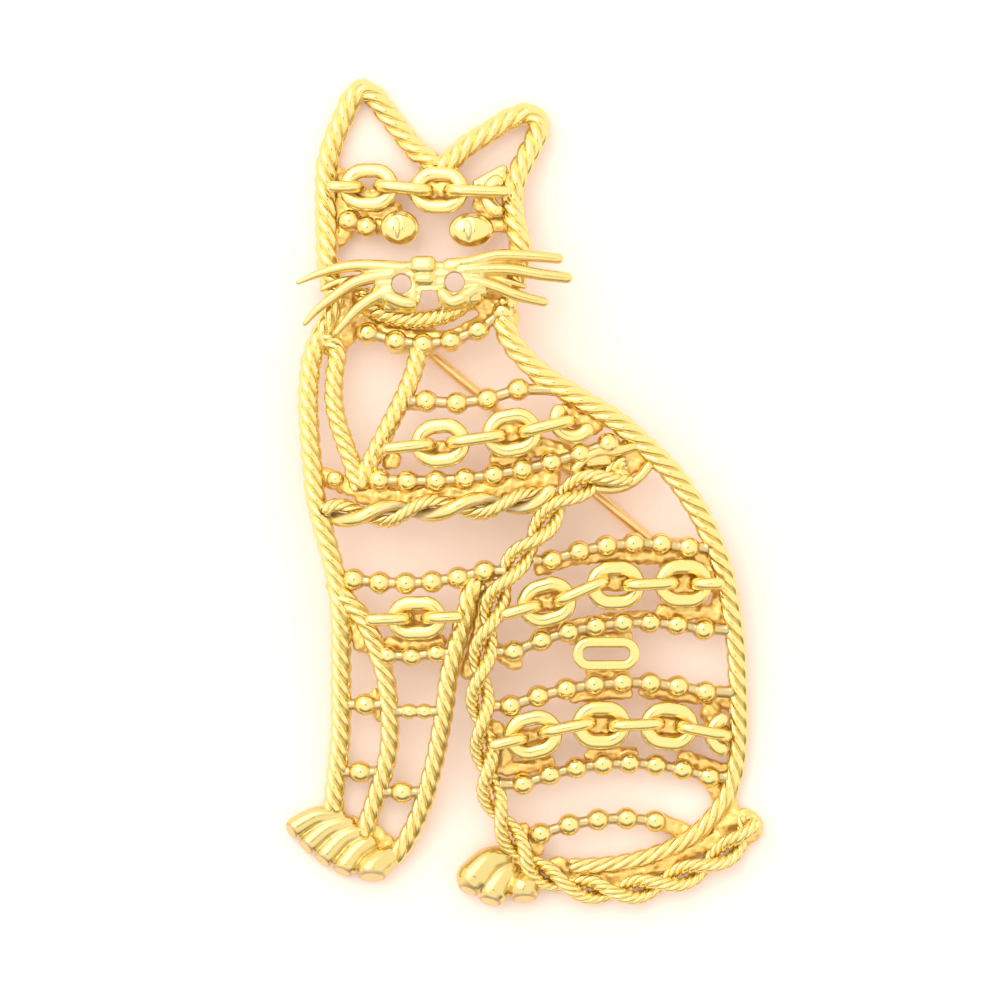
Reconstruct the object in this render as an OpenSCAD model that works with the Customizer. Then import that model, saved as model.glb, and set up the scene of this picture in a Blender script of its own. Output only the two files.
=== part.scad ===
// Openwork brooch of a seated cat: ropes, chains and bead rows over a shallow dome, with a hinged pin behind.
// X runs across the cat, Y up it, and Z out of its front. It lies on its back, on Z = 0.

/* [Cat] */
// Width of the cat, from its front paw to the tip of its tail
cat_w = 40; // [38:0.5:44]
// Height of the cat, from its rear paw to its ear tip
cat_h = 70; // [67:0.5:76]
// How far the middle of the openwork stands above its rim
dome_rise = 4.2; // [3.6:0.1:5]

/* [Ropes] */
// Thickness of the rope round the ears and the back
outline_d = 1.95; // [1.8:0.05:2]
// Thickness of the rope down the front
front_d = 1.8; // [1.6:0.05:1.85]
// Thickness of the ropes of the chest and the mouth
chest_d = 1.65; // [1.4:0.05:1.7]
// Thickness of the two ropes inside and behind the front leg
leg_d = 1.7; // [1.4:0.05:1.75]
// Length of one full turn of the strands in the ropes of the outline
outline_turn = 5.6; // [5:0.1:6.4]
// Length of one full turn of the strands in the ropes of the front and the legs
leg_turn = 5.2; // [4.6:0.1:6]
// Length of one full turn of the strands in the two ropes of the chest
chest_turn = 4.3; // [3.8:0.1:5]
// Length of one full turn of the strands in the rope of the mouth
mouth_turn = 3.1; // [2.8:0.1:3.6]

/* [Braids] */
// Thickness of one strand of the haunch and tail braids
braid_d = 1.24; // [1.1:0.02:1.3]
// Thickness of one strand of the belly braid
belly_d = 1.1; // [0.9:0.02:1.14]
// Length of one full turn of the two strands of the haunch and tail braid
braid_turn = 8.2; // [7:0.1:10]
// Length of one full turn of the two strands of the belly braid
belly_turn = 7.8; // [7:0.2:8.6]

/* [Chains] */
// Length of a chain link, outside
link_l = 5; // [4.8:0.05:5.1]
// Width of a chain link, outside
link_w = 4.1; // [3.9:0.05:4.2]
// Thickness of a link's wire
link_wire = 1; // [0.84:0.02:1.02]
// Width of the link on the front leg, outside
leg_link_w = 3.7; // [3.5:0.05:3.8]
// Length of the flat link in the middle of the haunch, outside
centre_link_l = 5.7; // [5.2:0.05:6.2]
// Width of the flat link in the middle of the haunch, outside
centre_link_w = 2.85; // [2.7:0.05:2.9]

/* [Beads] */
// Diameter of a bead
bead_d = 1.8; // [1.64:0.02:1.84]
// Diameter of the two small beads between the leg ropes
rung_bead_d = 1.3; // [1.1:0.05:1.35]
// Diameter of the bead between the front rope and the chest
side_bead_d = 1.5; // [1.2:0.05:1.55]
// Thickness of the neck between two beads
neck_d = 0.8; // [0.6:0.05:1.1]

/* [Face] */
// Width of the left eye
left_eye_w = 3.3; // [2.9:0.05:3.4]
// Width of the right eye
right_eye_w = 3.8; // [3.4:0.05:3.9]
// Height of both eyes
eye_h = 2.95; // [2.7:0.05:3]
// Thickness of the cast muzzle
muzzle_t = 1.3; // [1:0.05:1.6]
// Diameter of the two round holes beside the nose
muzzle_hole_d = 1.55; // [1.3:0.05:1.7]
// Thickness of a whisker at its root
whisker_d = 1; // [0.8:0.05:1.05]

/* [Paws] */
// Thickness of a toe of the front paw
front_toe_d = 1.95; // [1.8:0.05:2.1]
// Thickness of a toe of the rear paw
rear_toe_d = 2.5; // [2.3:0.05:2.6]

/* [Pin] */
// Thickness of the pin stem
stem_d = 0.85; // [0.7:0.05:1]
// Length of the stem beyond the catch
stem_past = 1.8; // [1.5:0.1:2]
// Height of the stem's middle above the brooch's back plane
stem_z = 1.1; // [1:0.05:1.15]
// Diameter of the hinge rivet
rivet_d = 0.6; // [0.5:0.05:0.7]
// Outer diameter of the stem's hinge eye
eyelet_d = 1.4; // [1.2:0.05:1.5]
// Width of the stem's hinge eye
eyelet_w = 1; // [0.8:0.05:1.2]
// Thickness of the hinge's two cheeks
cheek_t = 0.5; // [0.4:0.05:0.7]
// Thickness of the plates that carry the hinge and the catch
plate_t = 0.5; // [0.4:0.05:0.6]
// Width of the two plates
plate_w = 2.6; // [2.2:0.1:2.8]
// Length of the hinge's plate
hinge_plate_l = 3.8; // [3.4:0.1:4.2]
// Length of the catch along the stem
catch_l = 1.2; // [1:0.1:1.6]
// Wall of the catch's hook
catch_wall = 0.4; // [0.35:0.05:0.45]
// Length of the stem's point
stem_point = 1.6; // [1:0.1:1.8]
// Gap between the rivet and the eye that turns on it
running_gap = 0.04; // [0.02:0.01:0.08]

/* [Hidden] */
// Gap between two soldered pieces
seat_gap = 0.08;
// Gap between two links that hang in each other, and how far the chains stand above the ropes' middle
link_gap = 0.2;
chain_raise = 0.55;
// Gap between the stem and the catch it drops into
catch_gap = 0.12;
$fn = 32;
// Curve pieces between two points of a route
curve_steps = 8;
// Rings in one turn of a rope's strands
rope_rings = 12;
// Sides of a link's wire and of a braid's strand, and steps round one end of a link
wire_sides = 6;
end_steps = 6;
// Distance between the rings of a strand and of a whisker, and how far a strand's ends narrow
strand_step = 0.7;
strand_end = 0.6;
whisker_step = 1.2;
// How far the catch's plate reaches below the stem
catch_below = 0.7;

// Middle of the dome and its half widths, as shares of the cat's width and height
dome_middle = [49.7, 49.4];
dome_reach = [63, 48];
// How steeply the dome meets its flat rim
dome_power = 1.2;

// Routes of the ropes, each point [across %, up %] of the cat
LEFT_EAR = [[10.5, 74.8], [9.4, 77.7], [9.2, 80.6], [9, 83.6], [9, 86.6], [9.2, 89.6], [10.5, 92.4], [12.4, 95],
    [14.2, 97.3], [16.4, 98.6], [19.1, 97.8], [21.6, 95.9], [24.1, 94], [26.6, 92.1], [28.2, 91.1], [30, 90.4]];
RIGHT_EAR = [[35.4, 90.2], [37.7, 91.5], [40.5, 92.6], [43.4, 93.6], [46.5, 94.8], [49.6, 95.6], [52.2, 95.6],
    [53.6, 94.5], [53.2, 93.1], [51.8, 91.4], [50.3, 89.8], [48.8, 87.8], [48.1, 85.9], [48.2, 84.1],
    [48.8, 82.3], [49.5, 80.5], [49.7, 78.7], [48.8, 76.3], [47.4, 73.7]];
BACK = [[46.5, 70], [47.8, 68.3], [49.7, 66.9], [51.8, 65.6], [54.3, 64.3], [57.4, 63.1], [61.2, 61.8],
    [65.2, 60.4], [68.3, 59.4], [71.3, 58.2], [74, 56.8], [76.5, 55.5], [79, 54.1], [81.6, 52.5], [83.9, 50.8],
    [85.7, 49.2], [87.6, 47.4], [89.3, 45.4], [91, 43], [92.5, 40.3], [93.5, 37.4], [94.3, 34.5], [95, 31.7],
    [95.3, 28.5], [95.5, 25.4], [95.6, 22.3], [95.4, 19.4], [94.8, 16.8], [93.5, 14.4], [91.6, 12.5],
    [89.1, 10.7], [85.7, 9], [81.6, 7.7], [76.5, 6.6], [71.1, 5.9], [65.6, 5.6], [60.6, 5.5]];
FRONT = [[11, 73.7], [9.9, 71.4], [7.8, 68.9], [6.1, 66.4], [5.5, 63.8], [5.3, 61.2], [5.5, 58.4], [5.8, 55.6],
    [6.3, 53], [6.8, 50.2], [7.8, 47.5], [9, 44.8], [10.3, 42.3], [11.3, 39.8], [11.9, 37.2], [12.2, 34.3],
    [12.2, 31.2], [12.2, 27.8], [12.2, 24.5], [12.1, 21.2], [11.6, 18.2], [11.1, 15.6], [10.7, 13.6]];
CHEST_LEFT = [[11.4, 67.2], [10.9, 64.3], [10.7, 61.4], [11.5, 58.9], [12.8, 56.5], [14.3, 54.1], [15.3, 52.2]];
CHEST_RIGHT = [[27.9, 65.8], [27, 64], [25.2, 61.6], [23.1, 59.2], [21, 56.8], [19.3, 54.9]];
MOUTH = [[16.6, 74.2], [18, 72.7], [20.7, 71.7], [24.9, 71.1], [30, 71], [35, 71.8], [38.6, 73.1], [40.9, 74]];
INNER_LEG = [[16.6, 35.4], [18.4, 33.5], [19.9, 31.2], [21.2, 28.9], [22, 26.5], [22.4, 23.6], [22.4, 20.7],
    [21.8, 18.1], [20.5, 15.6], [19.3, 13.4], [18.2, 11.6], [17.7, 10.5]];
RIGHT_LEG = [[39.2, 38.1], [38.2, 35.7], [36.9, 33], [35.6, 30.3], [34.6, 27.7], [34, 24.8], [33.1, 21.8],
    [32.1, 18.8], [30.8, 15.8], [29.4, 13.1], [27.7, 10.6], [25.9, 8.6], [24.9, 7.6]];
BELLY = [[11.6, 48], [16.6, 47.5], [22.9, 47.8], [29.1, 48.4], [36.1, 48.6], [43, 48.7], [48.4, 49.1], [52.2, 49.6]];
HAUNCH_TAIL = [[71.8, 52.8], [69.7, 52.5], [65.4, 51.8], [61.2, 50.6], [57.7, 49], [55.3, 46.9], [52.4, 44.5],
    [49.2, 42.3], [46.6, 39.9], [44.7, 37.4], [43.4, 34.9], [42.3, 32.3], [41.5, 29.5], [41.3, 26.6], [41.5, 23.6],
    [42.1, 20.6], [42.6, 17.6], [43.4, 14.9], [45, 12.1], [47.2, 9.6], [49.8, 7.3], [52.5, 5.4], [55.8, 4.1],
    [59.6, 3.2], [64, 2.7], [69, 2.4], [74.4, 2.7], [79.9, 3.5], [84.9, 4.5], [89.5, 5.8], [93.4, 7.3], [96.3, 9.1], [98, 11]];

// Bead rows that run from rope to rope: heights of the left end, the middle and the right end in % of the cat,
// number of beads, and the necks at the left and the right end in % of a bead
CHEST_UPPER = [61.2, 61.1, 62.6, 4, 5, 0];
CHEST_LOWER = [51.8, 52.4, 56.1, 9, 10, 0];
LEG_UPPER = [39.9, 39.5, 40.9, 6, 5, 5];
LEG_LOWER = [30.8, 30.8, 31.1, 2, 30, 10];
HAUNCH_ROWS = [
    [42.2, 44.1, 43.7, 6, 5, 10],
    [31.3, 34.6, 33.9, 8, 15, 30],
    [24.8, 27.5, 26.4, 8, 15, 45],
    [15.4, 17.9, 16.2, 8, 30, 5],
    [9.4, 11.1, 10.9, 5, 0, 105]];
// Rungs between the leg ropes, in the same columns
RUNGS = [
    [24.8, 24.9, 24.9, 1, 10, 10],
    [24.1, 24.1, 24.1, 2, 5, 5],
    [17, 16.8, 16.6, 1, 10, 10],
    [14.5, 14.4, 14.3, 1, 10, 10]];
SIDE_BEAD = [51.9, 51.9, 51.9, 1, 0, 0];
// Bead rows with free ends, each bead [across %, up %]
CHEEK_ROW = [[13.8, 82.9], [17.6, 82.1]];
COLLAR_ROW = [[17.8, 69.4], [23.7, 68.4], [29.4, 68], [35.2, 68.4], [40.9, 69.7], [46.1, 71.9]];

// Middles of the face-on links of each chain, [across %, up %, tilt in degrees]
BROW_LINKS = [[18, 86.9, 0], [32.7, 86.5, -2]];
CHEST_LINKS = [[33.1, 56.2, 6], [48, 57.4, 10]];
LEG_LINKS = [[28.1, 35.3, 2]];
HAUNCH_UPPER_LINKS = [[55.3, 37.2, 16], [69.6, 39.2, 2], [83.9, 39.4, 0]];
HAUNCH_LOWER_LINKS = [[52.4, 21.3, 14], [66.7, 22.5, 0], [80.9, 22.3, -6]];
CENTRE_LINK = [67.7, 31, 0];
// Links half hidden by a rope, [across %, up %, tilt, where its arc starts and ends in degrees]
BROW_CUT = [46.5, 85.8, 0, 121, 238];
CHEST_CUT = [60.8, 59, 14, 138, 308];
HAUNCH_CUT = [93.5, 21.3, -6, 126, 248];

// Outline of the muzzle and the middles of its two round holes, [across %, up %]
MUZZLE = [[22.9, 78.4], [26.6, 78.8], [30.8, 78.9], [34.6, 78.5], [37.5, 77.9], [38.8, 76.7], [39.2, 75.3],
    [37.5, 73.9], [35, 73], [33.1, 73.1], [32.2, 74.2], [30.4, 74.9], [28.6, 74.2], [27.9, 73.1], [25.6, 73],
    [22.9, 73.5], [21.2, 74.6], [21.6, 76.4], [22, 77.6]];
MUZZLE_HOLES = [[24.7, 75.6], [35.8, 75.8]];
// Whiskers from root to tip, [across %, up %]
WHISKERS = [
    [[24.3, 77.3], [14.7, 77.4], [8.2, 76.6], [3.1, 75.4]],
    [[23, 75.9], [13.4, 74.2], [8.2, 72.1], [4.6, 70.1]],
    [[23, 74.9], [17, 72.5], [13.4, 70.6], [11.1, 69]],
    [[36, 78], [45.1, 78.6], [51.8, 78.5], [57.7, 78.2]],
    [[37.2, 76.7], [47.4, 76.1], [53.9, 76], [59.5, 75.9]],
    [[37, 75.6], [45.1, 74.2], [50.1, 73.3], [54.7, 73]]];
EYES = [[24.5, 82], [39.5, 81.7]];
// Where the heel of the first toe of each paw lies
FRONT_PAW = [9.9, 11.6];
REAR_PAW = [43.8, 6];
// Toes, in mm from there, [heel across, heel up, tip across, tip up, size of the tip in % of a toe]
FRONT_TOES = [
    [0, 0, -3.04, -0.84, 96],
    [1.08, -0.7, -1.72, -2.24, 98],
    [2.12, -1.47, -0.36, -3.36, 102],
    [3.16, -2.31, 1.24, -4.2, 106],
    [4.4, -3.36, 3.3, -4.6, 118]];
REAR_TOES = [
    [0, 0, -1.6, -0.98, 108],
    [0.84, -0.98, 0.08, -2.84, 112],
    [1.68, -1.96, 2.16, -2.8, 92]];
// Where the hinge and the catch stand
HINGE = [27.3, 68.7];
CATCH = [82, 42.2];

// Place in the plan of a point given as shares of the cat
function spot(share) = [(share[0] / 100 - 0.5) * cat_w, (share[1] / 100 - 0.5) * cat_h];

// Height of the middle of the openwork over a place in the plan
function dome(p) = let (
    m = spot(dome_middle),
    out = pow((p[0] - m[0]) * 100 / dome_reach[0] / cat_w, 2) + pow((p[1] - m[1]) * 100 / dome_reach[1] / cat_h, 2))
    outline_d / 2 + dome_rise * pow(max(0, 1 - out), dome_power);
function lift(p, raise = 0) = [p[0], p[1], dome(p) + raise];

function unit(v) = v / norm(v);

// Smooth curve through the points of a route
function bend(a, b, c, d, t) = (2 * b + (c - a) * t + (2 * a - 5 * b + 4 * c - d) * t * t
    + (3 * b - a - 3 * c + d) * t * t * t) / 2;
function curve(route) = let (p = [for (s = route) spot(s)], last = len(p) - 1) [
    for (i = [0 : last - 1], k = [0 : curve_steps - 1])
        bend(p[max(i - 1, 0)], p[i], p[i + 1], p[min(i + 2, last)], k / curve_steps),
    p[last]];

// Running length at each point of a line
function run(p) = [for (i = 0, s = 0; i < len(p); s = s + (i < len(p) - 1 ? norm(p[i + 1] - p[i]) : 0), i = i + 1) s];

// The same line with its points an even step apart
function evenly(p, step) = let (
    s = run(p),
    total = s[len(s) - 1],
    count = ceil(total / step),
    x = [for (i = [0 : len(p) - 1]) [s[i], p[i][0]]],
    y = [for (i = [0 : len(p) - 1]) [s[i], p[i][1]]])
    [for (k = [0 : count]) [lookup(total * k / count, x), lookup(total * k / count, y)]];

// Direction of a line at its point i
function heading(p, i) = unit(p[min(i + 1, len(p) - 1)] - p[max(i - 1, 0)]);

// One ring of a sweep: centre, radius, the two directions that span it, sides and turn
function ring(c, r, u, v, sides, turn = 0) =
    [for (k = [0 : sides - 1]) let (a = turn + 360 * k / sides) c + r * (cos(a) * u + sin(a) * v)];
function level(t) = unit([-t[1], t[0], 0]);

// Solid through a list of rings, joined end to start where it is a closed loop
module skin(rings, closed = false) {
    n = len(rings[0]);
    m = len(rings);
    walls = [for (j = [0 : closed ? m - 1 : m - 2], i = [0 : n - 1]) let (
        a = j * n + i,
        b = j * n + (i + 1) % n,
        c = ((j + 1) % m) * n + (i + 1) % n,
        d = ((j + 1) % m) * n + i)
        each [[a, d, c], [a, c, b]]];
    ends = closed ? [] : [[for (i = [0 : n - 1]) i], [for (i = [n - 1 : -1 : 0]) (m - 1) * n + i]];
    polyhedron([for (r = rings) each r], concat(walls, ends), convexity = 6);
}

// Twisted rope along a route: four strands, so its section is a turning square
module rope(route, d, turn, taper = 1) {
    p = [for (q = evenly(curve(route), turn / rope_rings)) lift(q)];
    last = len(p) - 1;
    skin([for (i = [0 : last]) let (
        t = heading(p, i),
        u = level(t),
        r = d / 2 * (1 + (taper - 1) * pow(i / last, 2)))
        ring(p[i], r, u, cross(t, u), 4, -360 * i / rope_rings)]);
}

// One of the two strands that wind round each other along a route, to the left where its turn is negative
module strand(route, d, turn, start) {
    wind = (d + seat_gap) / 2;
    p = [for (q = evenly(curve(route), strand_step)) lift(q, wind + d / 2 - outline_d / 2)];
    last = len(p) - 1;
    s = run(p);
    q = [for (i = [0 : last]) let (
        t = heading(p, i),
        u = level(t),
        a = start + 360 * s[i] / turn)
        p[i] + wind * (cos(a) * u + sin(a) * cross(t, u))];
    skin([for (i = [0 : last]) let (
        t = heading(q, i),
        u = level(t),
        r = d / 2 * (i == 0 || i == last ? strand_end : 1))
        ring(q[i], r, u, cross(t, u), wire_sides)]);
}

// Sideways lean of a route at the height y, and the place across of a line r beside it (side 1 right, -1 left)
function crossing(route, y) = lookup(y, [for (p = curve(route)) [p[1], p[0]]]);
function lean(route, y) = abs(crossing(route, y + 0.3) - crossing(route, y - 0.3)) / 0.6;
function beside(route, r, y, side) = crossing(route, y) + side * r * sqrt(1 + pow(lean(route, y), 2));

// Where a wire of thickness d ends, squarely cut, beside a rope of radius r
function wire_end(route, r, y, side, d) = beside(route, r + seat_gap, y, side) + side * d / 2 * lean(route, y);

// Directions along and across the openwork at a place in the plan
function along(p, tilt) = let (e = 0.2 * [cos(tilt), sin(tilt)]) unit(lift(p + e) - lift(p - e));
function across(p, tilt) = let (u = along(p, tilt), v = along(p, tilt + 90)) unit(v - (v * u) * u);

// Wire bent round part of a circle, from one angle to another, after and before its straight legs
module bent_wire(c, u, v, r, from, to, leg = 0) {
    n = cross(u, v);
    steps = ceil(abs(to - from) / 180 * end_steps);
    arc = [for (k = [0 : steps]) let (a = from + (to - from) * k / steps, o = cos(a) * u + sin(a) * v)
        ring(c + r * o, link_wire / 2, n, o, wire_sides)];
    feet = [for (side = [-1, 1]) ring(c - leg * u + side * r * v, link_wire / 2, n, side * v, wire_sides)];
    skin(leg > 0 ? concat([feet[0]], arc, [feet[1]]) : arc);
}

// Closed link: two half circles and the straights between them
module link(c, u, v, l, w) {
    n = cross(u, v);
    r = (w - link_wire) / 2;
    skin([for (side = [1, -1], k = [0 : end_steps]) let (
        a = 180 * k / end_steps - 90 * side,
        o = cos(a) * u + sin(a) * v)
        ring(c + side * (l - w) / 2 * u + r * o, link_wire / 2, n, o, wire_sides)], closed = true);
}
module face_link(place, l, w) {
    p = spot(place);
    link(lift(p, chain_raise), along(p, place[2]), across(p, place[2]), l, w);
}

// Middle of a face-on link's wire at its right end (side 1) or its left end (side -1)
function link_end(place, side, reach) = let (p = spot(place)) lift(p, chain_raise) + side * reach * along(p, place[2]);

// Radius of an upright link's bend, which holds a face-on link's wire
hold_r = link_wire + link_gap;

// Upright link that joins the wire ends a and b of two face-on links
module upright_link(a, b) {
    u = unit(b - a);
    link((a + b) / 2, u, cross(u, level(u)), norm(b - a) + 2 * hold_r + link_wire, 2 * hold_r + link_wire);
}

// Upright hook round the wire end a, whose two legs run to the rope at x
module upright_hook(a, x, tilt) {
    side = x < a[0] ? 1 : -1;
    u = side * unit([cos(tilt), sin(tilt), 0]);
    bent_wire(a, u, cross(u, level(u)), hold_r, -90, 90, abs(a[0] - x) / cos(tilt));
}

// Link half hidden by a rope
module cut_link(place) {
    p = spot(place);
    r = (link_w - link_wire) / 2;
    bent_wire(lift(p, chain_raise), along(p, place[2]), across(p, place[2]), r, place[3], place[4]);
}

// Row of face-on links joined by upright ones
module chain_row(places) {
    reach = (link_l - link_wire) / 2;
    for (place = places) face_link(place, link_l, link_w);
    for (i = [1 : 1 : len(places) - 1])
        upright_link(link_end(places[i - 1], 1, reach), link_end(places[i], -1, reach));
}
module hook_left(place, route, r) {
    a = link_end(place, -1, (link_l - link_wire) / 2);
    upright_hook(a, wire_end(route, r, a[1], 1, link_wire), place[2]);
}
module hook_right(place, route, r) {
    a = link_end(place, 1, (link_l - link_wire) / 2);
    upright_hook(a, wire_end(route, r, a[1], -1, link_wire), place[2]);
}
module joint_to_cut(place, cut)
    upright_link(link_end(place, 1, (link_l - link_wire) / 2), link_end(cut, -1, (link_w - link_wire) / 2));

// Round rod between two points
module rod(a, b, d) {
    v = b - a;
    translate(a) rotate([0, acos(v[2] / norm(v)), atan2(v[1], v[0])]) cylinder(d = d, h = norm(v));
}

// String of beads with a neck between each two; each bead is turned so that its seam is clear of its necks
module beads(p, d) {
    for (c = p) translate(c) rotate([0, 0, 90]) sphere(d = d);
    for (i = [1 : 1 : len(p) - 1]) rod(p[i - 1], p[i], neck_d);
}

// Row of beads between the rope a on its left and the rope b on its right, with a neck to each
module bead_row(row, a, a_r, b, b_r, d = bead_d) {
    h = [for (i = [0 : 2]) (row[i] / 100 - 0.5) * cat_h];
    first = beside(a, a_r + seat_gap + d / 2, h[0], 1) + row[4] / 100 * d;
    last = beside(b, b_r + seat_gap + d / 2, h[2], -1) - row[5] / 100 * d;
    function at(t) = lift([first + (last - first) * t,
        h[0] + (4 * h[1] - 3 * h[0] - h[2]) * t + 2 * (h[0] + h[2] - 2 * h[1]) * t * t]);
    p = row[3] == 1 ? [at(0.5)] : [for (k = [0 : row[3] - 1]) at(k / (row[3] - 1))];
    tip = p[len(p) - 1];
    beads(p, d);
    if (row[4] > 0) rod([wire_end(a, a_r, h[0], 1, neck_d), p[0][1], p[0][2]], p[0], neck_d);
    if (row[5] > 0) rod(tip, [wire_end(b, b_r, h[2], -1, neck_d), tip[1], tip[2]], neck_d);
}

// Radius of the whole haunch braid, and its route from the shoulder down to the rear paw
braid_r = braid_d + seat_gap / 2;
haunch = [for (i = [0 : 20]) HAUNCH_TAIL[i]];

// Domed button of an ellipse's outline, flat caps at its two poles
module dome_button(c, w, h, t) {
    steps = [-72, -48, -16, 16, 48, 72];
    skin([for (a = steps) [for (k = [0 : 15]) let (b = 22.5 * k)
        c + [w / 2 * cos(a) * cos(b), h / 2 * cos(a) * sin(b), t / 2 * sin(a)]]]);
}
module eye(place, w) {
    c = lift(spot(place));
    t = bead_d;
    dome_button(c, w, eye_h, t);
    translate([-0.12 * w, 0, 0.42 * t]) dome_button(c, 0.2 * w, 0.62 * eye_h, 0.3 * t);
}

// Toes of a paw that lie on the back plane, and the palm that joins their heels
module paw(place, toes, d) {
    function heel(toe) = concat(spot(place) + [toe[0], toe[1]], 0.45 * d);
    function tip(toe) = concat(spot(place) + [toe[2], toe[3]], toe[4] / 200 * d);
    for (toe = toes) hull() {
        translate(heel(toe)) sphere(d = 0.75 * d, $fn = 12);
        translate(tip(toe)) sphere(d = toe[4] / 100 * d, $fn = 12);
    }
    hull() for (toe = [toes[0], toes[len(toes) - 1]], part = [0, 0.45])
        translate(heel(toe) * (1 - part) + tip(toe) * part) sphere(d = 0.75 * d, $fn = 12);
}

// Distance from the hinge to the catch
stem_reach = norm(spot(CATCH) - spot(HINGE));

// Places everything that follows in the frame of the stem: X along it from the hinge
module at_hinge() {
    p = spot(HINGE);
    way = spot(CATCH) - p;
    translate([p[0], p[1], stem_z]) rotate([0, 0, atan2(way[1], way[0])]) children();
}

module left_ear_rope() color("gold") rope(LEFT_EAR, outline_d, outline_turn);
module right_ear_rope() color("gold") rope(RIGHT_EAR, outline_d, outline_turn);
module back_rope() color("gold") rope(BACK, outline_d, outline_turn, 0.72);
module front_rope() color("gold") rope(FRONT, front_d, leg_turn);
module chest_rope_left() color("gold") rope(CHEST_LEFT, chest_d, chest_turn);
module chest_rope_right() color("gold") rope(CHEST_RIGHT, chest_d, chest_turn);
module mouth_rope() color("gold") rope(MOUTH, chest_d, mouth_turn);
module inner_leg_rope() color("gold") rope(INNER_LEG, leg_d, leg_turn);
module right_leg_rope() color("gold") rope(RIGHT_LEG, leg_d, leg_turn);
module belly_strand_a() color("gold") strand(BELLY, belly_d, -belly_turn, 201);
module belly_strand_b() color("gold") strand(BELLY, belly_d, -belly_turn, 21);
module haunch_tail_strand_a() color("gold") strand(HAUNCH_TAIL, braid_d, braid_turn, 0);
module haunch_tail_strand_b() color("gold") strand(HAUNCH_TAIL, braid_d, braid_turn, 180);

module brow_chain() color("gold") {
    chain_row(BROW_LINKS);
    cut_link(BROW_CUT);
    hook_left(BROW_LINKS[0], LEFT_EAR, outline_d / 2);
    hook_right(BROW_LINKS[1], RIGHT_EAR, outline_d / 2);
}
module chest_chain() color("gold") {
    chain_row(CHEST_LINKS);
    cut_link(CHEST_CUT);
    hook_left(CHEST_LINKS[0], CHEST_RIGHT, chest_d / 2);
    joint_to_cut(CHEST_LINKS[1], CHEST_CUT);
}
module leg_chain() color("gold") {
    face_link(LEG_LINKS[0], link_l, leg_link_w);
    hook_left(LEG_LINKS[0], INNER_LEG, leg_d / 2);
    hook_right(LEG_LINKS[0], RIGHT_LEG, leg_d / 2);
}
module haunch_chain_upper() color("gold") {
    chain_row(HAUNCH_UPPER_LINKS);
    hook_left(HAUNCH_UPPER_LINKS[0], haunch, braid_r);
    hook_right(HAUNCH_UPPER_LINKS[2], BACK, outline_d / 2);
}
module haunch_chain_lower() color("gold") {
    chain_row(HAUNCH_LOWER_LINKS);
    cut_link(HAUNCH_CUT);
    hook_left(HAUNCH_LOWER_LINKS[0], haunch, braid_r);
    joint_to_cut(HAUNCH_LOWER_LINKS[2], HAUNCH_CUT);
}
module centre_link() color("gold") face_link(CENTRE_LINK, centre_link_l, centre_link_w);

module cheek_beads() color("gold") beads([for (s = CHEEK_ROW) lift(spot(s))], bead_d);
module collar_beads() color("gold") beads([for (s = COLLAR_ROW) lift(spot(s))], bead_d);
module chest_beads_upper() color("gold") bead_row(CHEST_UPPER, CHEST_RIGHT, chest_d / 2, BACK, outline_d / 2);
module chest_beads_lower() color("gold") bead_row(CHEST_LOWER, CHEST_LEFT, chest_d / 2, BACK, outline_d / 2);
module side_bead() color("gold") bead_row(SIDE_BEAD, FRONT, front_d / 2, CHEST_LEFT, chest_d / 2, side_bead_d);
module leg_beads_upper() color("gold") bead_row(LEG_UPPER, FRONT, front_d / 2, haunch, braid_r);
module leg_beads_lower() color("gold") bead_row(LEG_LOWER, INNER_LEG, leg_d / 2, RIGHT_LEG, leg_d / 2);
module haunch_beads(i) color("gold") bead_row(HAUNCH_ROWS[i], haunch, braid_r, BACK, outline_d / 2);
module leg_rung_1() color("gold") bead_row(RUNGS[0], FRONT, front_d / 2, INNER_LEG, leg_d / 2);
module leg_rung_2() color("gold") bead_row(RUNGS[1], INNER_LEG, leg_d / 2, RIGHT_LEG, leg_d / 2, rung_bead_d);
module leg_rung_3() color("gold") bead_row(RUNGS[2], FRONT, front_d / 2, INNER_LEG, leg_d / 2);
module leg_rung_4() color("gold") bead_row(RUNGS[3], INNER_LEG, leg_d / 2, RIGHT_LEG, leg_d / 2);

module left_eye() color("gold") eye(EYES[0], left_eye_w);
module right_eye() color("gold") eye(EYES[1], right_eye_w);

// Nose and cheeks with two round holes, and the six whiskers that lie over the cheek ropes
module muzzle() color("gold") {
    over = (outline_d + whisker_d) / 2 + seat_gap;
    translate([0, 0, dome(spot(MUZZLE[12])) + outline_d / 2 + seat_gap]) linear_extrude(muzzle_t) difference() {
        polygon([for (s = MUZZLE) spot(s)]);
        for (s = MUZZLE_HOLES) translate(spot(s)) circle(d = muzzle_hole_d);
    }
    for (whisker = WHISKERS) {
        p = [for (q = evenly(curve(whisker), whisker_step)) lift(q, over)];
        last = len(p) - 1;
        skin([for (i = [0 : last]) let (t = heading(p, i), u = level(t))
            ring(p[i], whisker_d / 2 * (1 - 0.45 * pow(i / last, 2)), u, cross(t, u), wire_sides)]);
    }
}
module front_paw() color("gold") paw(FRONT_PAW, FRONT_TOES, front_toe_d);
module rear_paw() color("gold") paw(REAR_PAW, REAR_TOES, rear_toe_d);

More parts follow.
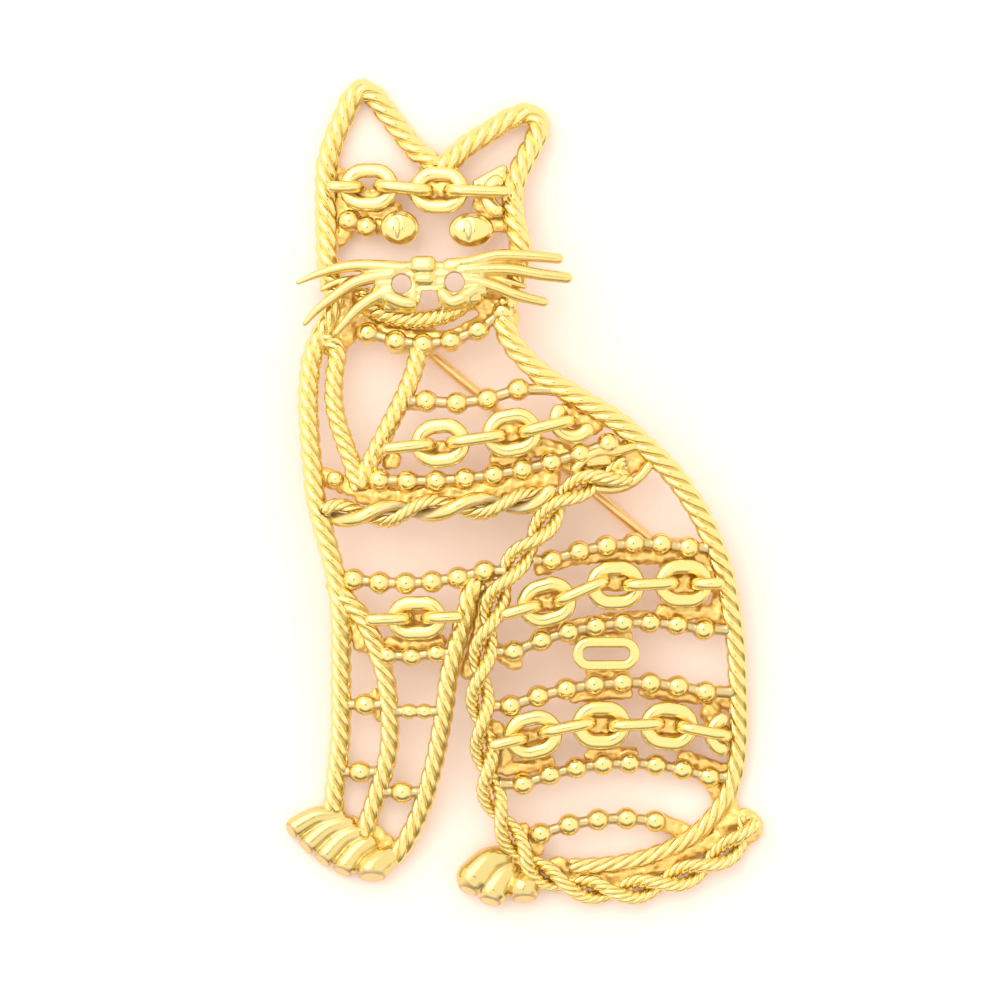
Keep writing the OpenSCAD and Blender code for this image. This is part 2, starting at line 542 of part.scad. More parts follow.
// Plate under the collar beads, with two cheeks and the rivet between them
module hinge_bracket() color("goldenrod") {
    top = dome(spot(COLLAR_ROW[1])) - bead_d / 2 - seat_gap;
    drop = top - plate_t - stem_z;
    apart = eyelet_w / 2 + running_gap;
    half = eyelet_d / 2;
    p = spot(HINGE);
    translate([p[0] - hinge_plate_l / 2, p[1] - plate_w / 2, top - plate_t]) cube([hinge_plate_l, plate_w, plate_t]);
    at_hinge() {
        for (side = [0, 1]) mirror([0, side, 0]) translate([0, apart + cheek_t, 0]) rotate([90, 0, 0])
            linear_extrude(cheek_t) polygon([[-half, drop + plate_t / 2], [-half, -half / 2], [-half / 2, -half],
                [half / 2, -half], [half, -half / 2], [half, drop + plate_t / 2]]);
        translate([0, apart + cheek_t, 0]) rotate([90, 0, 0]) cylinder(d = rivet_d, h = 2 * (apart + cheek_t));
    }
}

// Hook that the stem drops into from behind, on a plate under the beads
module catch() color("goldenrod") {
    bore_d = stem_d + 2 * catch_gap;
    outer_d = bore_d + 2 * catch_wall;
    p = spot(CATCH);
    top = dome(p + [plate_w / 2, 0]) - bead_d / 2 - seat_gap;
    translate([p[0] - plate_w / 2, p[1] - catch_below, top - plate_t]) cube([plate_w, plate_w, plate_t]);
    at_hinge() translate([stem_reach, 0, 0]) difference() {
        union() {
            translate([-catch_l / 2, 0, 0]) rotate([0, 90, 0]) cylinder(d = outer_d, h = catch_l);
            translate([-catch_l / 2, -bore_d / 2, 0]) cube([catch_l, bore_d, top - plate_t / 2 - stem_z]);
        }
        translate([-catch_l, 0, 0]) rotate([0, 90, 0]) cylinder(d = bore_d, h = 2 * catch_l);
        translate([-catch_l, -bore_d / 2, -outer_d]) cube([2 * catch_l, bore_d, outer_d]);
    }
}

// Stem with its hinge eye at one end and its point at the other
module pin_stem() color("goldenrod") at_hinge() difference() {
    length = stem_reach + stem_past;
    union() {
        translate([0, eyelet_w / 2, 0]) rotate([90, 0, 0]) cylinder(d = eyelet_d, h = eyelet_w);
        rotate([0, 90, 0]) cylinder(d = stem_d, h = length - stem_point);
        translate([length - stem_point, 0, 0]) rotate([0, 90, 0]) cylinder(d1 = stem_d, d2 = stem_d / 4, h = stem_point);
    }
    translate([0, eyelet_w, 0]) rotate([90, 0, 0]) cylinder(d = rivet_d + 2 * running_gap, h = 2 * eyelet_w);
}

left_ear_rope();
right_ear_rope();
back_rope();
front_rope();
chest_rope_left();
chest_rope_right();
mouth_rope();
inner_leg_rope();
right_leg_rope();
belly_strand_a();
belly_strand_b();
haunch_tail_strand_a();
haunch_tail_strand_b();
brow_chain();
chest_chain();
leg_chain();
haunch_chain_upper();
haunch_chain_lower();
centre_link();
cheek_beads();
collar_beads();
chest_beads_upper();
chest_beads_lower();
side_bead();
leg_beads_upper();
leg_beads_lower();
haunch_beads(0);  // haunch_beads_1
haunch_beads(1);  // haunch_beads_2
haunch_beads(2);  // haunch_beads_3
haunch_beads(3);  // haunch_beads_4
haunch_beads(4);  // haunch_beads_5
leg_rung_1();
leg_rung_2();
leg_rung_3();
leg_rung_4();
left_eye();
right_eye();
muzzle();
front_paw();
rear_paw();
hinge_bracket();
catch();
pin_stem();
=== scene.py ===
import math

import bmesh
import bpy
from mathutils import Matrix, Vector, noise


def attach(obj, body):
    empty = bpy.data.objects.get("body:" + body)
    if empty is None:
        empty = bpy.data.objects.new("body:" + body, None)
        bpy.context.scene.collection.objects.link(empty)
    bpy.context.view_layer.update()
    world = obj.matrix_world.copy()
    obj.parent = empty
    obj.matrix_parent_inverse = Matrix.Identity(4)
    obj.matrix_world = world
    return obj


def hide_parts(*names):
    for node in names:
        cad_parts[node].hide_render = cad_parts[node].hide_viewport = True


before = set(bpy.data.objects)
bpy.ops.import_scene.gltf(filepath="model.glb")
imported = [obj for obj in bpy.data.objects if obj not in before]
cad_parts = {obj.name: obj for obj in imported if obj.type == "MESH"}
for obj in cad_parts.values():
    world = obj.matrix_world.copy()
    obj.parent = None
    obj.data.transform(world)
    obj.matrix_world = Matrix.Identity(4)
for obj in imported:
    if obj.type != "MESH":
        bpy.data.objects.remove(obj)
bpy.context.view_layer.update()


# The table, the lamp and the lens.
# The brooch lies in a light tent on pale pink paper, which also glows faintly: painted light that lifts the
# shade under the openwork and lights the metal a little from below. The tent is open at the picture's lower
# side, so the lower edges of beads and strands mirror something darker, and a black card behind the lens
# puts a small dark dot on their tops.
paper_reach = 1.2
paper_painted_glow = 0.16
paper_pinks = ((0.97, 0.80, 0.715, 1), (0.99, 0.82, 0.74, 1))
paper_painted_glow_colour = (1.0, 0.80, 0.60, 1)
paper_fibres = 900
paper_rough = 0.85
lens_height = 0.70
lens_length = 300
lens_near = 0.01
picture_middle = (-0.001803, -0.00042, 0.002)
picture_width = 0.0839
card_height = 0.76
card_radius = 0.085
card_sides = 32
card_blacks = ((0.02, 0.02, 0.018, 1), (0.03, 0.03, 0.028, 1))
card_clouds = 200
card_rough = 0.9
tent_glow = 1.22
tent_mouth = 0.28
tent_white = (1.0, 0.985, 0.96, 1)
mouth_edge = (0.30, 0.75)
lamp_place = (-0.30, 0.35, 0.60)
lamp_wide = 0.7
lamp_power = 2.0


class Shade:
    """One varying value in a finish, so that sums on it are written as plain Python."""

    def __init__(self, tree, socket=None):
        self.tree = tree
        self.socket = socket

    def node(self, kind, settings=None, output=0, **sockets):
        made = self.tree.nodes.new(kind)
        for setting, value in (settings or {}).items():
            setattr(made, setting, value)
        for place, value in sockets.items():
            key = int(place[1:]) if place[0] == "_" else place.replace("_", " ")
            if isinstance(value, Shade):
                self.tree.links.new(value.socket, made.inputs[key])
            else:
                made.inputs[key].default_value = value
        return Shade(self.tree, made.outputs[output])

    def sum(self, operation, a, b):
        return self.node("ShaderNodeMath", {"operation": operation}, _0=a, _1=b)

    def __add__(self, other):
        return self.sum("ADD", self, other)

    def __sub__(self, other):
        return self.sum("SUBTRACT", self, other)

    def __rsub__(self, other):
        return self.sum("SUBTRACT", other, self)

    def __mul__(self, other):
        return self.sum("MULTIPLY", self, other)

    __radd__ = __add__
    __rmul__ = __mul__

    def between(self, low, high):
        """0 below low, 1 above high, and an even rise between them."""
        return self.node("ShaderNodeMapRange", {"interpolation_type": "SMOOTHSTEP"},
                         Value=self, From_Min=low, From_Max=high)

    def blend(self, first, second):
        """The colour first where this value is 0, and second where it is 1."""
        return self.node("ShaderNodeMix", {"data_type": "RGBA"}, output=2, _0=self, _6=first, _7=second)


def as_mesh(name, work):
    """A new mesh of what a bmesh holds."""
    mesh = bpy.data.meshes.new(name)
    work.to_mesh(mesh)
    work.free()
    return mesh


def set_down(name, data):
    """A new object in the scene."""
    thing = bpy.data.objects.new(name, data)
    bpy.context.scene.collection.objects.link(thing)
    return thing


def start_finish(name):
    """A new material, a Shade to write it with, and its shader."""
    finish = bpy.data.materials.new(name)
    finish.use_nodes = True
    return finish, Shade(finish.node_tree), finish.node_tree.nodes["Principled BSDF"]


def feed(shader, socket, shade):
    """Links a Shade to one of a shader's sockets."""
    shade.tree.links.new(shade.socket, shader.inputs[socket])


def grain(pen, scale, detail=2):
    """Cloudy pattern on a piece, `scale` clouds to the metre."""
    place = pen.node("ShaderNodeTexCoord", output=3)
    return pen.node("ShaderNodeTexNoise", Vector=place, Scale=scale, Detail=detail)


shape = bmesh.new()
bmesh.ops.create_grid(shape, x_segments=2, y_segments=2, size=paper_reach)
paper_mesh = as_mesh("paper", shape)
paper = set_down("paper", paper_mesh)

paper_finish, pen, shader = start_finish("paper")
feed(shader, "Base Color", grain(pen, paper_fibres).blend(*paper_pinks))
shader.inputs["Roughness"].default_value = paper_rough
# Painted light: the paper glows faintly, lifting the shade under the openwork.
shader.inputs["Emission Color"].default_value = paper_painted_glow_colour
shader.inputs["Emission Strength"].default_value = paper_painted_glow
paper_mesh.materials.append(paper_finish)

shape = bmesh.new()
bmesh.ops.create_circle(shape, cap_ends=True, radius=card_radius, segments=card_sides,
                        matrix=Matrix.Translation((*picture_middle[:2], card_height)))
card_mesh = as_mesh("lens_card", shape)
card = set_down("lens_card", card_mesh)

card_finish, pen, shader = start_finish("lens_card")
feed(shader, "Base Color", grain(pen, card_clouds).blend(*card_blacks))
shader.inputs["Roughness"].default_value = card_rough
card_mesh.materials.append(card_finish)

tent = bpy.data.worlds.new("tent")
tent.use_nodes = True
pen = Shade(tent.node_tree)
ray = pen.node("ShaderNodeTexCoord")
away = pen.node("ShaderNodeSeparateXYZ", output=1, Vector=ray)
height = pen.node("ShaderNodeSeparateXYZ", output=2, Vector=ray)
mouth = (-1 * away).between(*mouth_edge) * (1 - height.between(*mouth_edge))
cloth = tent.node_tree.nodes["Background"]
cloth.inputs["Color"].default_value = tent_white
feed(cloth, "Strength", tent_glow - mouth * (tent_glow - tent_mouth))
bpy.context.scene.world = tent

lamp_light = bpy.data.lights.new("lamp", "AREA")
lamp_light.shape = "DISK"
lamp_light.size = lamp_wide
lamp_light.energy = lamp_power
lamp = set_down("lamp", lamp_light)
lamp.location = lamp_place
lamp.rotation_euler = (-lamp.location).to_track_quat("-Z", "Y").to_euler()

lens_data = bpy.data.cameras.new("lens")
lens_data.lens = lens_length
lens_data.sensor_width = lens_length * picture_width / lens_height
lens_data.clip_start = lens_near
lens = set_down("lens", lens_data)
lens.location = Vector(picture_middle) + Vector((0, 0, lens_height))
bpy.context.scene.camera = lens
bpy.context.scene.view_settings.view_transform = "Standard"


# The rope outline.
# Four round wires laid into a rope, bent to the cat's outline over a shallow dome, and cast in gilt brass
# in one piece with all the rest. One length goes round each ear and down its cheek, and one each down the
# back and the front. The ends run on into their neighbours, as they do in the casting.
cat_width = 0.040
cat_height = 0.070
dome_rise = 0.0042
dome_middle = (49.7, 49.4)
dome_reach = (0.63 * cat_width, 0.48 * cat_height)
dome_power = 1.2
outline_thick = 0.00195
front_thick = 0.0018
outline_turn = 0.0056
front_turn = 0.0052
back_taper = 0.72
rings_in_turn = 20
wires_in_rope = 4
strand_share = 0.43
wire_sides = 12
nose_turns = (0.45, 0.85, 1.2, 1.45)
recess_rise = 1.9
side_shade_slope = 0.40
side_shade = 0.72
# The recess attribute is painted shade: the gold blends from pale on crowns to deep in recesses, and to
# brown at their bottom and on steep sides; clouds mottle the tone a little.
pale_gold = (0.93, 0.735, 0.275, 1)
deep_gold = (0.91, 0.74, 0.39, 1)
shade_brown = (0.62, 0.49, 0.25, 1)
cloud_middle = 0.43
tone_from = 0.05
deep_at = 0.62
shade_brown_from = 0.55
dull_recess = 0.22
dull_clouds = 0.10
pits_in_cloud = 5
pit_share = 0.25
skin_strength = 0.55

left_ear_route = [
    (10.5, 74.8), (9.4, 77.7), (9.2, 80.6), (9, 83.6), (9, 86.6), (9.2, 89.6), (10.5, 92.4), (12.4, 95),
    (14.2, 97.3), (16.4, 98.6), (19.1, 97.8), (21.6, 95.9), (24.1, 94), (26.6, 92.1), (28.2, 91.1),
    (30, 90.4)]
right_ear_route = [
    (35.4, 90.2), (37.7, 91.5), (40.5, 92.6), (43.4, 93.6), (46.5, 94.8), (49.6, 95.6), (52.2, 95.6),
    (53.6, 94.5), (53.2, 93.1), (51.8, 91.4), (50.3, 89.8), (48.8, 87.8), (48.1, 85.9), (48.2, 84.1),
    (48.8, 82.3), (49.5, 80.5), (49.7, 78.7), (48.8, 76.3), (47.4, 73.7)]
back_route = [
    (46.5, 70), (47.8, 68.3), (49.7, 66.9), (51.8, 65.6), (54.3, 64.3), (57.4, 63.1), (61.2, 61.8),
    (65.2, 60.4), (68.3, 59.4), (71.3, 58.2), (74, 56.8), (76.5, 55.5), (79, 54.1), (81.6, 52.5),
    (83.9, 50.8), (85.7, 49.2), (87.6, 47.4), (89.3, 45.4), (91, 43), (92.5, 40.3), (93.5, 37.4),
    (94.3, 34.5), (95, 31.7), (95.3, 28.5), (95.5, 25.4), (95.6, 22.3), (95.4, 19.4), (94.8, 16.8),
    (93.5, 14.4), (91.6, 12.5), (89.1, 10.7), (85.7, 9), (81.6, 7.7), (76.5, 6.6), (71.1, 5.9),
    (65.6, 5.6), (60.6, 5.5)]
front_route = [
    (11, 73.7), (9.9, 71.4), (7.8, 68.9), (6.1, 66.4), (5.5, 63.8), (5.3, 61.2), (5.5, 58.4), (5.8, 55.6),
    (6.3, 53), (6.8, 50.2), (7.8, 47.5), (9, 44.8), (10.3, 42.3), (11.3, 39.8), (11.9, 37.2), (12.2, 34.3),
    (12.2, 31.2), (12.2, 27.8), (12.2, 24.5), (12.1, 21.2), (11.6, 18.2), (11.1, 15.6), (10.7, 13.6)]


def on_plan(across, up):
    """A place given in percent of the cat's width and height."""
    return Vector(((across / 100 - 0.5) * cat_width, (up / 100 - 0.5) * cat_height, 0))


def on_dome(place, raised=0):
    """The middle of the openwork over a place in the plan."""
    middle = on_plan(*dome_middle)
    out = ((place.x - middle.x) / dome_reach[0]) ** 2 + ((place.y - middle.y) / dome_reach[1]) ** 2
    rise = dome_rise * max(0, 1 - out) ** dome_power
    return Vector((place.x, place.y, outline_thick / 2 + rise + raised))


def bent(route, steps=8):
    """Smooth line in the plan through the points of a route."""
    points = [on_plan(*share) for share in route]
    line = []
    for i in range(len(points) - 1):
        before, start, end = points[max(i - 1, 0)], points[i], points[i + 1]
        after = points[min(i + 2, len(points) - 1)]
        for step in range(steps):
            t = step / steps
            line.append((2 * start + (end - before) * t
                         + (2 * before - 5 * start + 4 * end - after) * t * t
                         + (3 * start - before - 3 * end + after) * t * t * t) / 2)
    return line + [points[-1]]


def evenly(line, step):
    """The same line with its points an even step apart."""
    gone = [0]
    for start, end in zip(line, line[1:]):
        gone.append(gone[-1] + (end - start).length)
    count = math.ceil(gone[-1] / step)
    spread = []
    at = 0
    for k in range(count + 1):
        goal = gone[-1] * k / count
        while at < len(line) - 2 and gone[at + 1] < goal:
            at += 1
        spread.append(line[at].lerp(line[at + 1], (goal - gone[at]) / (gone[at + 1] - gone[at])))
    return spread


def directions(line, i):
    """Along a line at its point i, level across it, and square to both."""
    along = (line[min(i + 1, len(line) - 1)] - line[max(i - 1, 0)]).normalized()
    level = Vector((-along.y, along.x, 0)).normalized()
    return along, level, along.cross(level)


def laid(axis, strands, radius, thick, turn, start=0, taper=1):
    """Wires laid round an axis, each a run of (place, wire radius, core, reach of the recess)."""
    last = len(axis) - 1
    gone = 0
    runs = [[] for strand in range(strands)]
    for i, core in enumerate(axis):
        along, level, up = directions(axis, i)
        gone += (core - axis[max(i - 1, 0)]).length
        size = 1 + (taper - 1) * (i / last) ** 2
        for k, run in enumerate(runs):
            angle = start + math.tau * (gone / turn + k / strands)
            place = core + radius * size * (math.cos(angle) * level + math.sin(angle) * up)
            run.append((place, thick / 2 * size, core, (radius + thick / 2) * size))
    return runs


def rounded(run):
    """A run with a round nose at both ends."""
    noses = []
    for end, inner in ((run[0], run[1]), (run[-1], run[-2])):
        out = (end[0] - inner[0]).normalized()
        noses.append([(end[0] + out * end[1] * math.sin(turn), end[1] * math.cos(turn), end[2], end[3])
                      for turn in nose_turns])
    return noses[0][::-1] + run + noses[1]


def cast_wire(name, runs, closed=False, sides=wire_sides):
    """One mesh of round wires along runs.

    Its attribute recess is painted shade: 0 on their crowns, 1 deep between them, where the wires shade
    each other, and high on their steep sides, which turn away from the light above."""
    line = bpy.data.curves.new(name, "CURVE")
    line.dimensions = "3D"
    line.bevel_depth = 1
    line.bevel_resolution = sides // 2 - 2
    for run in runs:
        spline = line.splines.new("POLY")
        spline.points.add(len(run) - 1)
        spline.use_cyclic_u = closed
        for knot, ring in zip(spline.points, run):
            knot.co = (*ring[0], 1)
            knot.radius = ring[1]
    drawn = bpy.data.objects.new(name, line)
    skin = bmesh.new()
    skin.from_mesh(drawn.to_mesh())
    bpy.data.objects.remove(drawn)
    bpy.data.curves.remove(line)
    rings = [ring for run in runs for ring in run]
    recess = skin.verts.layers.float.new("recess")
    skin.verts.ensure_lookup_table()
    for index, point in enumerate(skin.verts):
        core, reach = rings[index // sides][2:]
        point[recess] = min(1, max(0, recess_rise - recess_rise * (point.co - core).length / reach))
    bmesh.ops.holes_fill(skin, edges=[edge for edge in skin.edges if edge.is_boundary], sides=sides)
    bmesh.ops.recalc_face_normals(skin, faces=skin.faces)
    if skin.calc_volume(signed=True) < 0:
        bmesh.ops.reverse_faces(skin, faces=skin.faces)
    skin.normal_update()
    # Painted shade on the steep sides.
    for point in skin.verts:
        point[recess] = max(point[recess], side_shade * min(1, 1 - point.normal.z / side_shade_slope))
    mesh = as_mesh(name, skin)
    mesh.shade_smooth()
    return mesh


def set_piece(name, mesh, finish, *nodes):
    """Puts a finished piece on the brooch, in place of its CAD nodes."""
    mesh.materials.clear()
    mesh.materials.append(finish)
    piece = set_down(name, mesh)
    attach(piece, "brooch")
    if nodes:
        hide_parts(*nodes)


def gilt(name, pale, deep, dull, clouds=1400, skin=0.00001, mottle=0.35):
    """Cast metal under gold plate, with painted shade: pale and bright on crowns, deeper in recesses, brown
    at their bottom.
    """
    finish, pen, shader = start_finish(name)
    recess = pen.node("ShaderNodeAttribute", {"attribute_name": "recess"}, output=2)
    cloud = grain(pen, clouds, detail=3)
    pit = grain(pen, clouds * pits_in_cloud)
    tone = (recess + mottle * (cloud - cloud_middle)).between(tone_from, 1.0)
    shaded_colour = tone.between(0.0, deep_at).blend(pale, deep)
    bumps = cloud + pit_share * pit
    feed(shader, "Base Color", tone.between(shade_brown_from, 1.0).blend(shaded_colour, shade_brown))
    feed(shader, "Roughness", dull + dull_recess * tone + dull_clouds * (cloud - 0.5))
    feed(shader, "Normal", pen.node("ShaderNodeBump", Height=bumps, Strength=skin_strength, Distance=skin))
    shader.inputs["Metallic"].default_value = 1
    return finish


def rope(route, thick, turn, taper=1):
    """Four runs laid round a route."""
    axis = [on_dome(place) for place in evenly(bent(route), turn / rings_in_turn)]
    strand_thick = strand_share * thick
    runs = laid(axis, wires_in_rope, (thick - strand_thick) / 2, strand_thick, -turn, taper=taper)
    return [rounded(run) for run in runs]


rope_gold = gilt("rope_gold", pale_gold, deep_gold, dull=0.17)
for node, route, thick, turn, taper in (
        ("left_ear_rope", [(10.9, 73.9)] + left_ear_route + [(31.9, 89.4)],
         outline_thick, outline_turn, 1),
        ("right_ear_rope", [(33.1, 89.3)] + right_ear_route + [(46.8, 72.9)],
         outline_thick, outline_turn, 1),
        ("back_rope", [(46.1, 71)] + back_route, outline_thick, outline_turn, back_taper),
        ("front_rope", [(10.7, 74.7)] + front_route + [(10.7, 12.4)], front_thick, front_turn, 1)):
    set_piece(node + "_strands", cast_wire(node, rope(route, thick, turn, taper)), rope_gold, node)


# The ropes inside the outline.
# The same rope in a thinner wire: two lengths in a V down the chest, a short one that is the mouth, and two
# down the leg. Those of chest and mouth are laid tighter, so their grooves stand closer together.
chest_thick = 0.00165
leg_thick = 0.0017
chest_turn = 0.0043
mouth_turn = 0.0031
leg_turn = 0.0052

chest_left_route = [
    (11.4, 67.2), (10.9, 64.3), (10.7, 61.4), (11.5, 58.9), (12.8, 56.5), (14.3, 54.1), (15.3, 52.2)]
chest_right_route = [
    (27.9, 65.8), (27, 64), (25.2, 61.6), (23.1, 59.2), (21, 56.8), (19.3, 54.9)]
mouth_route = [
    (16.6, 74.2), (18, 72.7), (20.7, 71.7), (24.9, 71.1), (30, 71), (35, 71.8), (38.6, 73.1), (40.9, 74)]
inner_leg_route = [
    (16.6, 35.4), (18.4, 33.5), (19.9, 31.2), (21.2, 28.9), (22, 26.5), (22.4, 23.6), (22.4, 20.7),
    (21.8, 18.1), (20.5, 15.6), (19.3, 13.4), (18.2, 11.6), (17.7, 10.5)]
right_leg_route = [
    (39.2, 38.1), (38.2, 35.7), (36.9, 33), (35.6, 30.3), (34.6, 27.7), (34, 24.8), (33.1, 21.8),
    (32.1, 18.8), (30.8, 15.8), (29.4, 13.1), (27.7, 10.6), (25.9, 8.6), (24.9, 7.6)]

for node, route, thick, turn in (
        ("chest_rope_left", [(9.2, 68.8)] + chest_left_route + [(16.1, 51)], chest_thick, chest_turn),
        ("chest_rope_right", [(28.5, 67.3)] + chest_right_route + [(16.4, 51.4)], chest_thick, chest_turn),
        ("mouth_rope", mouth_route, chest_thick, mouth_turn),
        ("inner_leg_rope", [(11.3, 38.6), (14, 37.1)] + inner_leg_route + [(17, 9.4)], leg_thick, leg_turn),
        ("right_leg_rope", [(40.9, 39.4)] + right_leg_route + [(23.3, 6.6)], leg_thick, leg_turn)):
    set_piece(node + "_strands", cast_wire(node, rope(route, thick, turn)), rope_gold, node)


# The braids.
# Two heavy strands wound round each other, cast with the ropes. Under the chest one is smooth wire and one
# a fine rope. Both are fine ropes in the long braid from the shoulder round the haunch to the tail's tip.
braid_turn = 0.0082
belly_turn = -0.0078
belly_start = math.radians(241)
braid_gap = 0.00008
belly_thick = 0.0012
haunch_thick = 0.00124
fine_turn = 0.0034
fine_sides = 8
smooth_sides = 16
braid_step = 0.00025

belly_route = [
    (11.6, 48), (16.6, 47.5), (22.9, 47.8), (29.1, 48.4), (36.1, 48.6), (43, 48.7), (48.4, 49.1),
    (52.2, 49.6)]
haunch_route = [
    (71.8, 52.8), (69.7, 52.5), (65.4, 51.8), (61.2, 50.6), (57.7, 49), (55.3, 46.9), (52.4, 44.5),
    (49.2, 42.3), (46.6, 39.9), (44.7, 37.4), (43.4, 34.9), (42.3, 32.3), (41.5, 29.5), (41.3, 26.6),
    (41.5, 23.6), (42.1, 20.6), (42.6, 17.6), (43.4, 14.9), (45, 12.1), (47.2, 9.6), (49.8, 7.3),
    (52.5, 5.4), (55.8, 4.1), (59.6, 3.2), (64, 2.7), (69, 2.4), (74.4, 2.7), (79.9, 3.5), (84.9, 4.5),
    (89.5, 5.8), (93.4, 7.3), (96.3, 9.1), (98, 11)]


def wound(route, thick, turn, half, start=0):
    """Middle of one of the two strands of a braid; half is 0 or 1."""
    radius = (thick + braid_gap) / 2
    raised = radius + thick / 2 - outline_thick / 2
    axis = [on_dome(place, raised) for place in evenly(bent(route), braid_step)]
    return laid(axis, 2, radius, thick, turn, start)[half]


def roped(middle, thick):
    """Four fine wires laid round the middle of a strand."""
    fine_thick = strand_share * thick
    fine = laid(middle, wires_in_rope, (thick - fine_thick) / 2, fine_thick, -fine_turn)
    return [rounded(run) for run in fine]


braid_gold = gilt("braid_gold", pale_gold, deep_gold, dull=0.19)
for node, route, thick, turn, start in (
        ("belly_strand", [(9.4, 47.8)] + belly_route + [(55.8, 50.4)],
         belly_thick, belly_turn, belly_start),
        ("haunch_tail_strand", haunch_route, haunch_thick, braid_turn, 0)):
    for half, letter in enumerate("ab"):
        run = wound(route, thick, turn, half, start)
        if (node, letter) == ("belly_strand", "a"):
            mesh = cast_wire(node, [rounded(run)], sides=smooth_sides)
        else:
            mesh = cast_wire(node, roped([ring[0] for ring in run], thick), sides=fine_sides)
        set_piece(node + "_" + letter + "_wires", mesh, braid_gold, node + "_" + letter)


# The chains.
# Stout round-wire links, cast as if they hung in each other: every other link lies face on, and the ones
# between stand on edge. The last ones hook round a link's end and run to the rope beside it.
link_length = 0.0050
link_width = 0.0041
link_thick = 0.0010
hook_in = 0.0005
face_thick = 0.00125
face_flat = 0.72
leg_link_width = 0.0037
chain_raised = 0.00055
link_play = 0.0002
hold = link_thick + link_play
bend_steps = 12
link_sides = 16
lean_step = 0.0002
lowest = 0.00004
chain_pale = (0.95, 0.76, 0.29, 1)
chain_deep = (0.89, 0.66, 0.29, 1)
# Each chain: its face-on links (across %, up %, tilt in degrees), the link half hidden by a rope (the same,
# and where its arc starts and ends in degrees), and how far across its left and right hook reach, in mm.
chains = {
    "brow_chain": ([(18, 86.9, 0), (32.7, 86.5, -2)], (46.5, 85.8, 0, 121, 238), -15.34, -1.86),
    "chest_chain": ([(33.1, 56.2, 6), (48, 57.4, 10)], (60.8, 59, 14, 138, 308), -10.65, None),
    "leg_chain": ([(28.1, 35.3, 2)], None, -12.06, -5.87),
    "haunch_chain_upper": ([(55.3, 37.2, 16), (69.6, 39.2, 2), (83.9, 39.4, 0)], None, -0.78, 15.96),
    "haunch_chain_lower": ([(52.4, 21.3, 14), (66.7, 22.5, 0), (80.9, 22.3, -6)],
                           (93.5, 21.3, -6, 126, 248), -1.74, None)}
centre_link = (67.7, 31, 0)
centre_length = 0.0057
centre_width = 0.00285
centre_thick = 0.0009
centre_flat = 0.55


def tangents(place, tilt):
    """Directions along and across the openwork at a place in the plan."""
    turn = math.radians(tilt)
    step = Vector((math.cos(turn), math.sin(turn), 0)) * lean_step
    side = Vector((-step.y, step.x, 0))
    along = (on_dome(place + step) - on_dome(place - step)).normalized()
    across = (on_dome(place + side) - on_dome(place - side)).normalized()
    return along, (across - across.dot(along) * along).normalized()


def arc(middle, along, across, radius, start, end, thick):
    """Part of a circle of link wire, from one angle to another in degrees."""
    turns = [math.radians(start + (end - start) * k / bend_steps) for k in range(bend_steps + 1)]
    return [(place, thick / 2, place, thick / 2)
            for place in (middle + radius * (math.cos(a) * along + math.sin(a) * across) for a in turns)]


def link(middle, along, across, length, width, thick):
    """Closed run round a link: two half circles and the straights between them."""
    half = (length - width) / 2 * along
    radius = (width - thick) / 2
    return (arc(middle + half, along, across, radius, -90, 90, thick)
            + arc(middle - half, along, across, radius, 90, 270, thick))


def flattened(mesh, share, raised=chain_raised):
    """The same mesh pressed flatter over the dome, as the links that lie face on are."""
    for point in mesh.vertices:
        middle = on_dome(point.co, raised).z
        point.co.z = max(lowest, middle + (point.co.z - middle) * share)
    return mesh


def joined(name, meshes):
    """Several meshes as one."""
    whole = bmesh.new()
    for mesh in meshes:
        whole.from_mesh(mesh)
    mesh = as_mesh(name, whole)
    mesh.shade_smooth()
    return mesh


def link_end(place, tilt, side, reach):
    """The middle of the wire at one end of a link that lies face on."""
    return on_dome(place, chain_raised) + side * reach * tangents(place, tilt)[0]


def upright(a, b):
    """Link on edge that holds the wires at a and b."""
    along = (b - a).normalized()
    level = Vector((-along.y, along.x, 0)).normalized()
    width = 2 * hold + link_thick
    return link((a + b) / 2, along, along.cross(level), (b - a).length + width, width, link_thick)


def hook(a, x, tilt):
    """Hook on edge round the wire at a, with two legs that run to x."""
    side = 1 if x < a.x else -1
    along = side * Vector((math.cos(math.radians(tilt)), math.sin(math.radians(tilt)), 0))
    up = along.cross(Vector((-along.y, along.x, 0)))
    bend = arc(a, along, up, hold, -90, 90, link_thick)
    back = abs(a.x - x) / math.cos(math.radians(tilt)) * along
    ends = (bend[0][0] - back, bend[-1][0] - back)
    feet = [(place, link_thick / 2, place, link_thick / 2) for place in ends]
    return [feet[0]] + bend + [feet[1]]


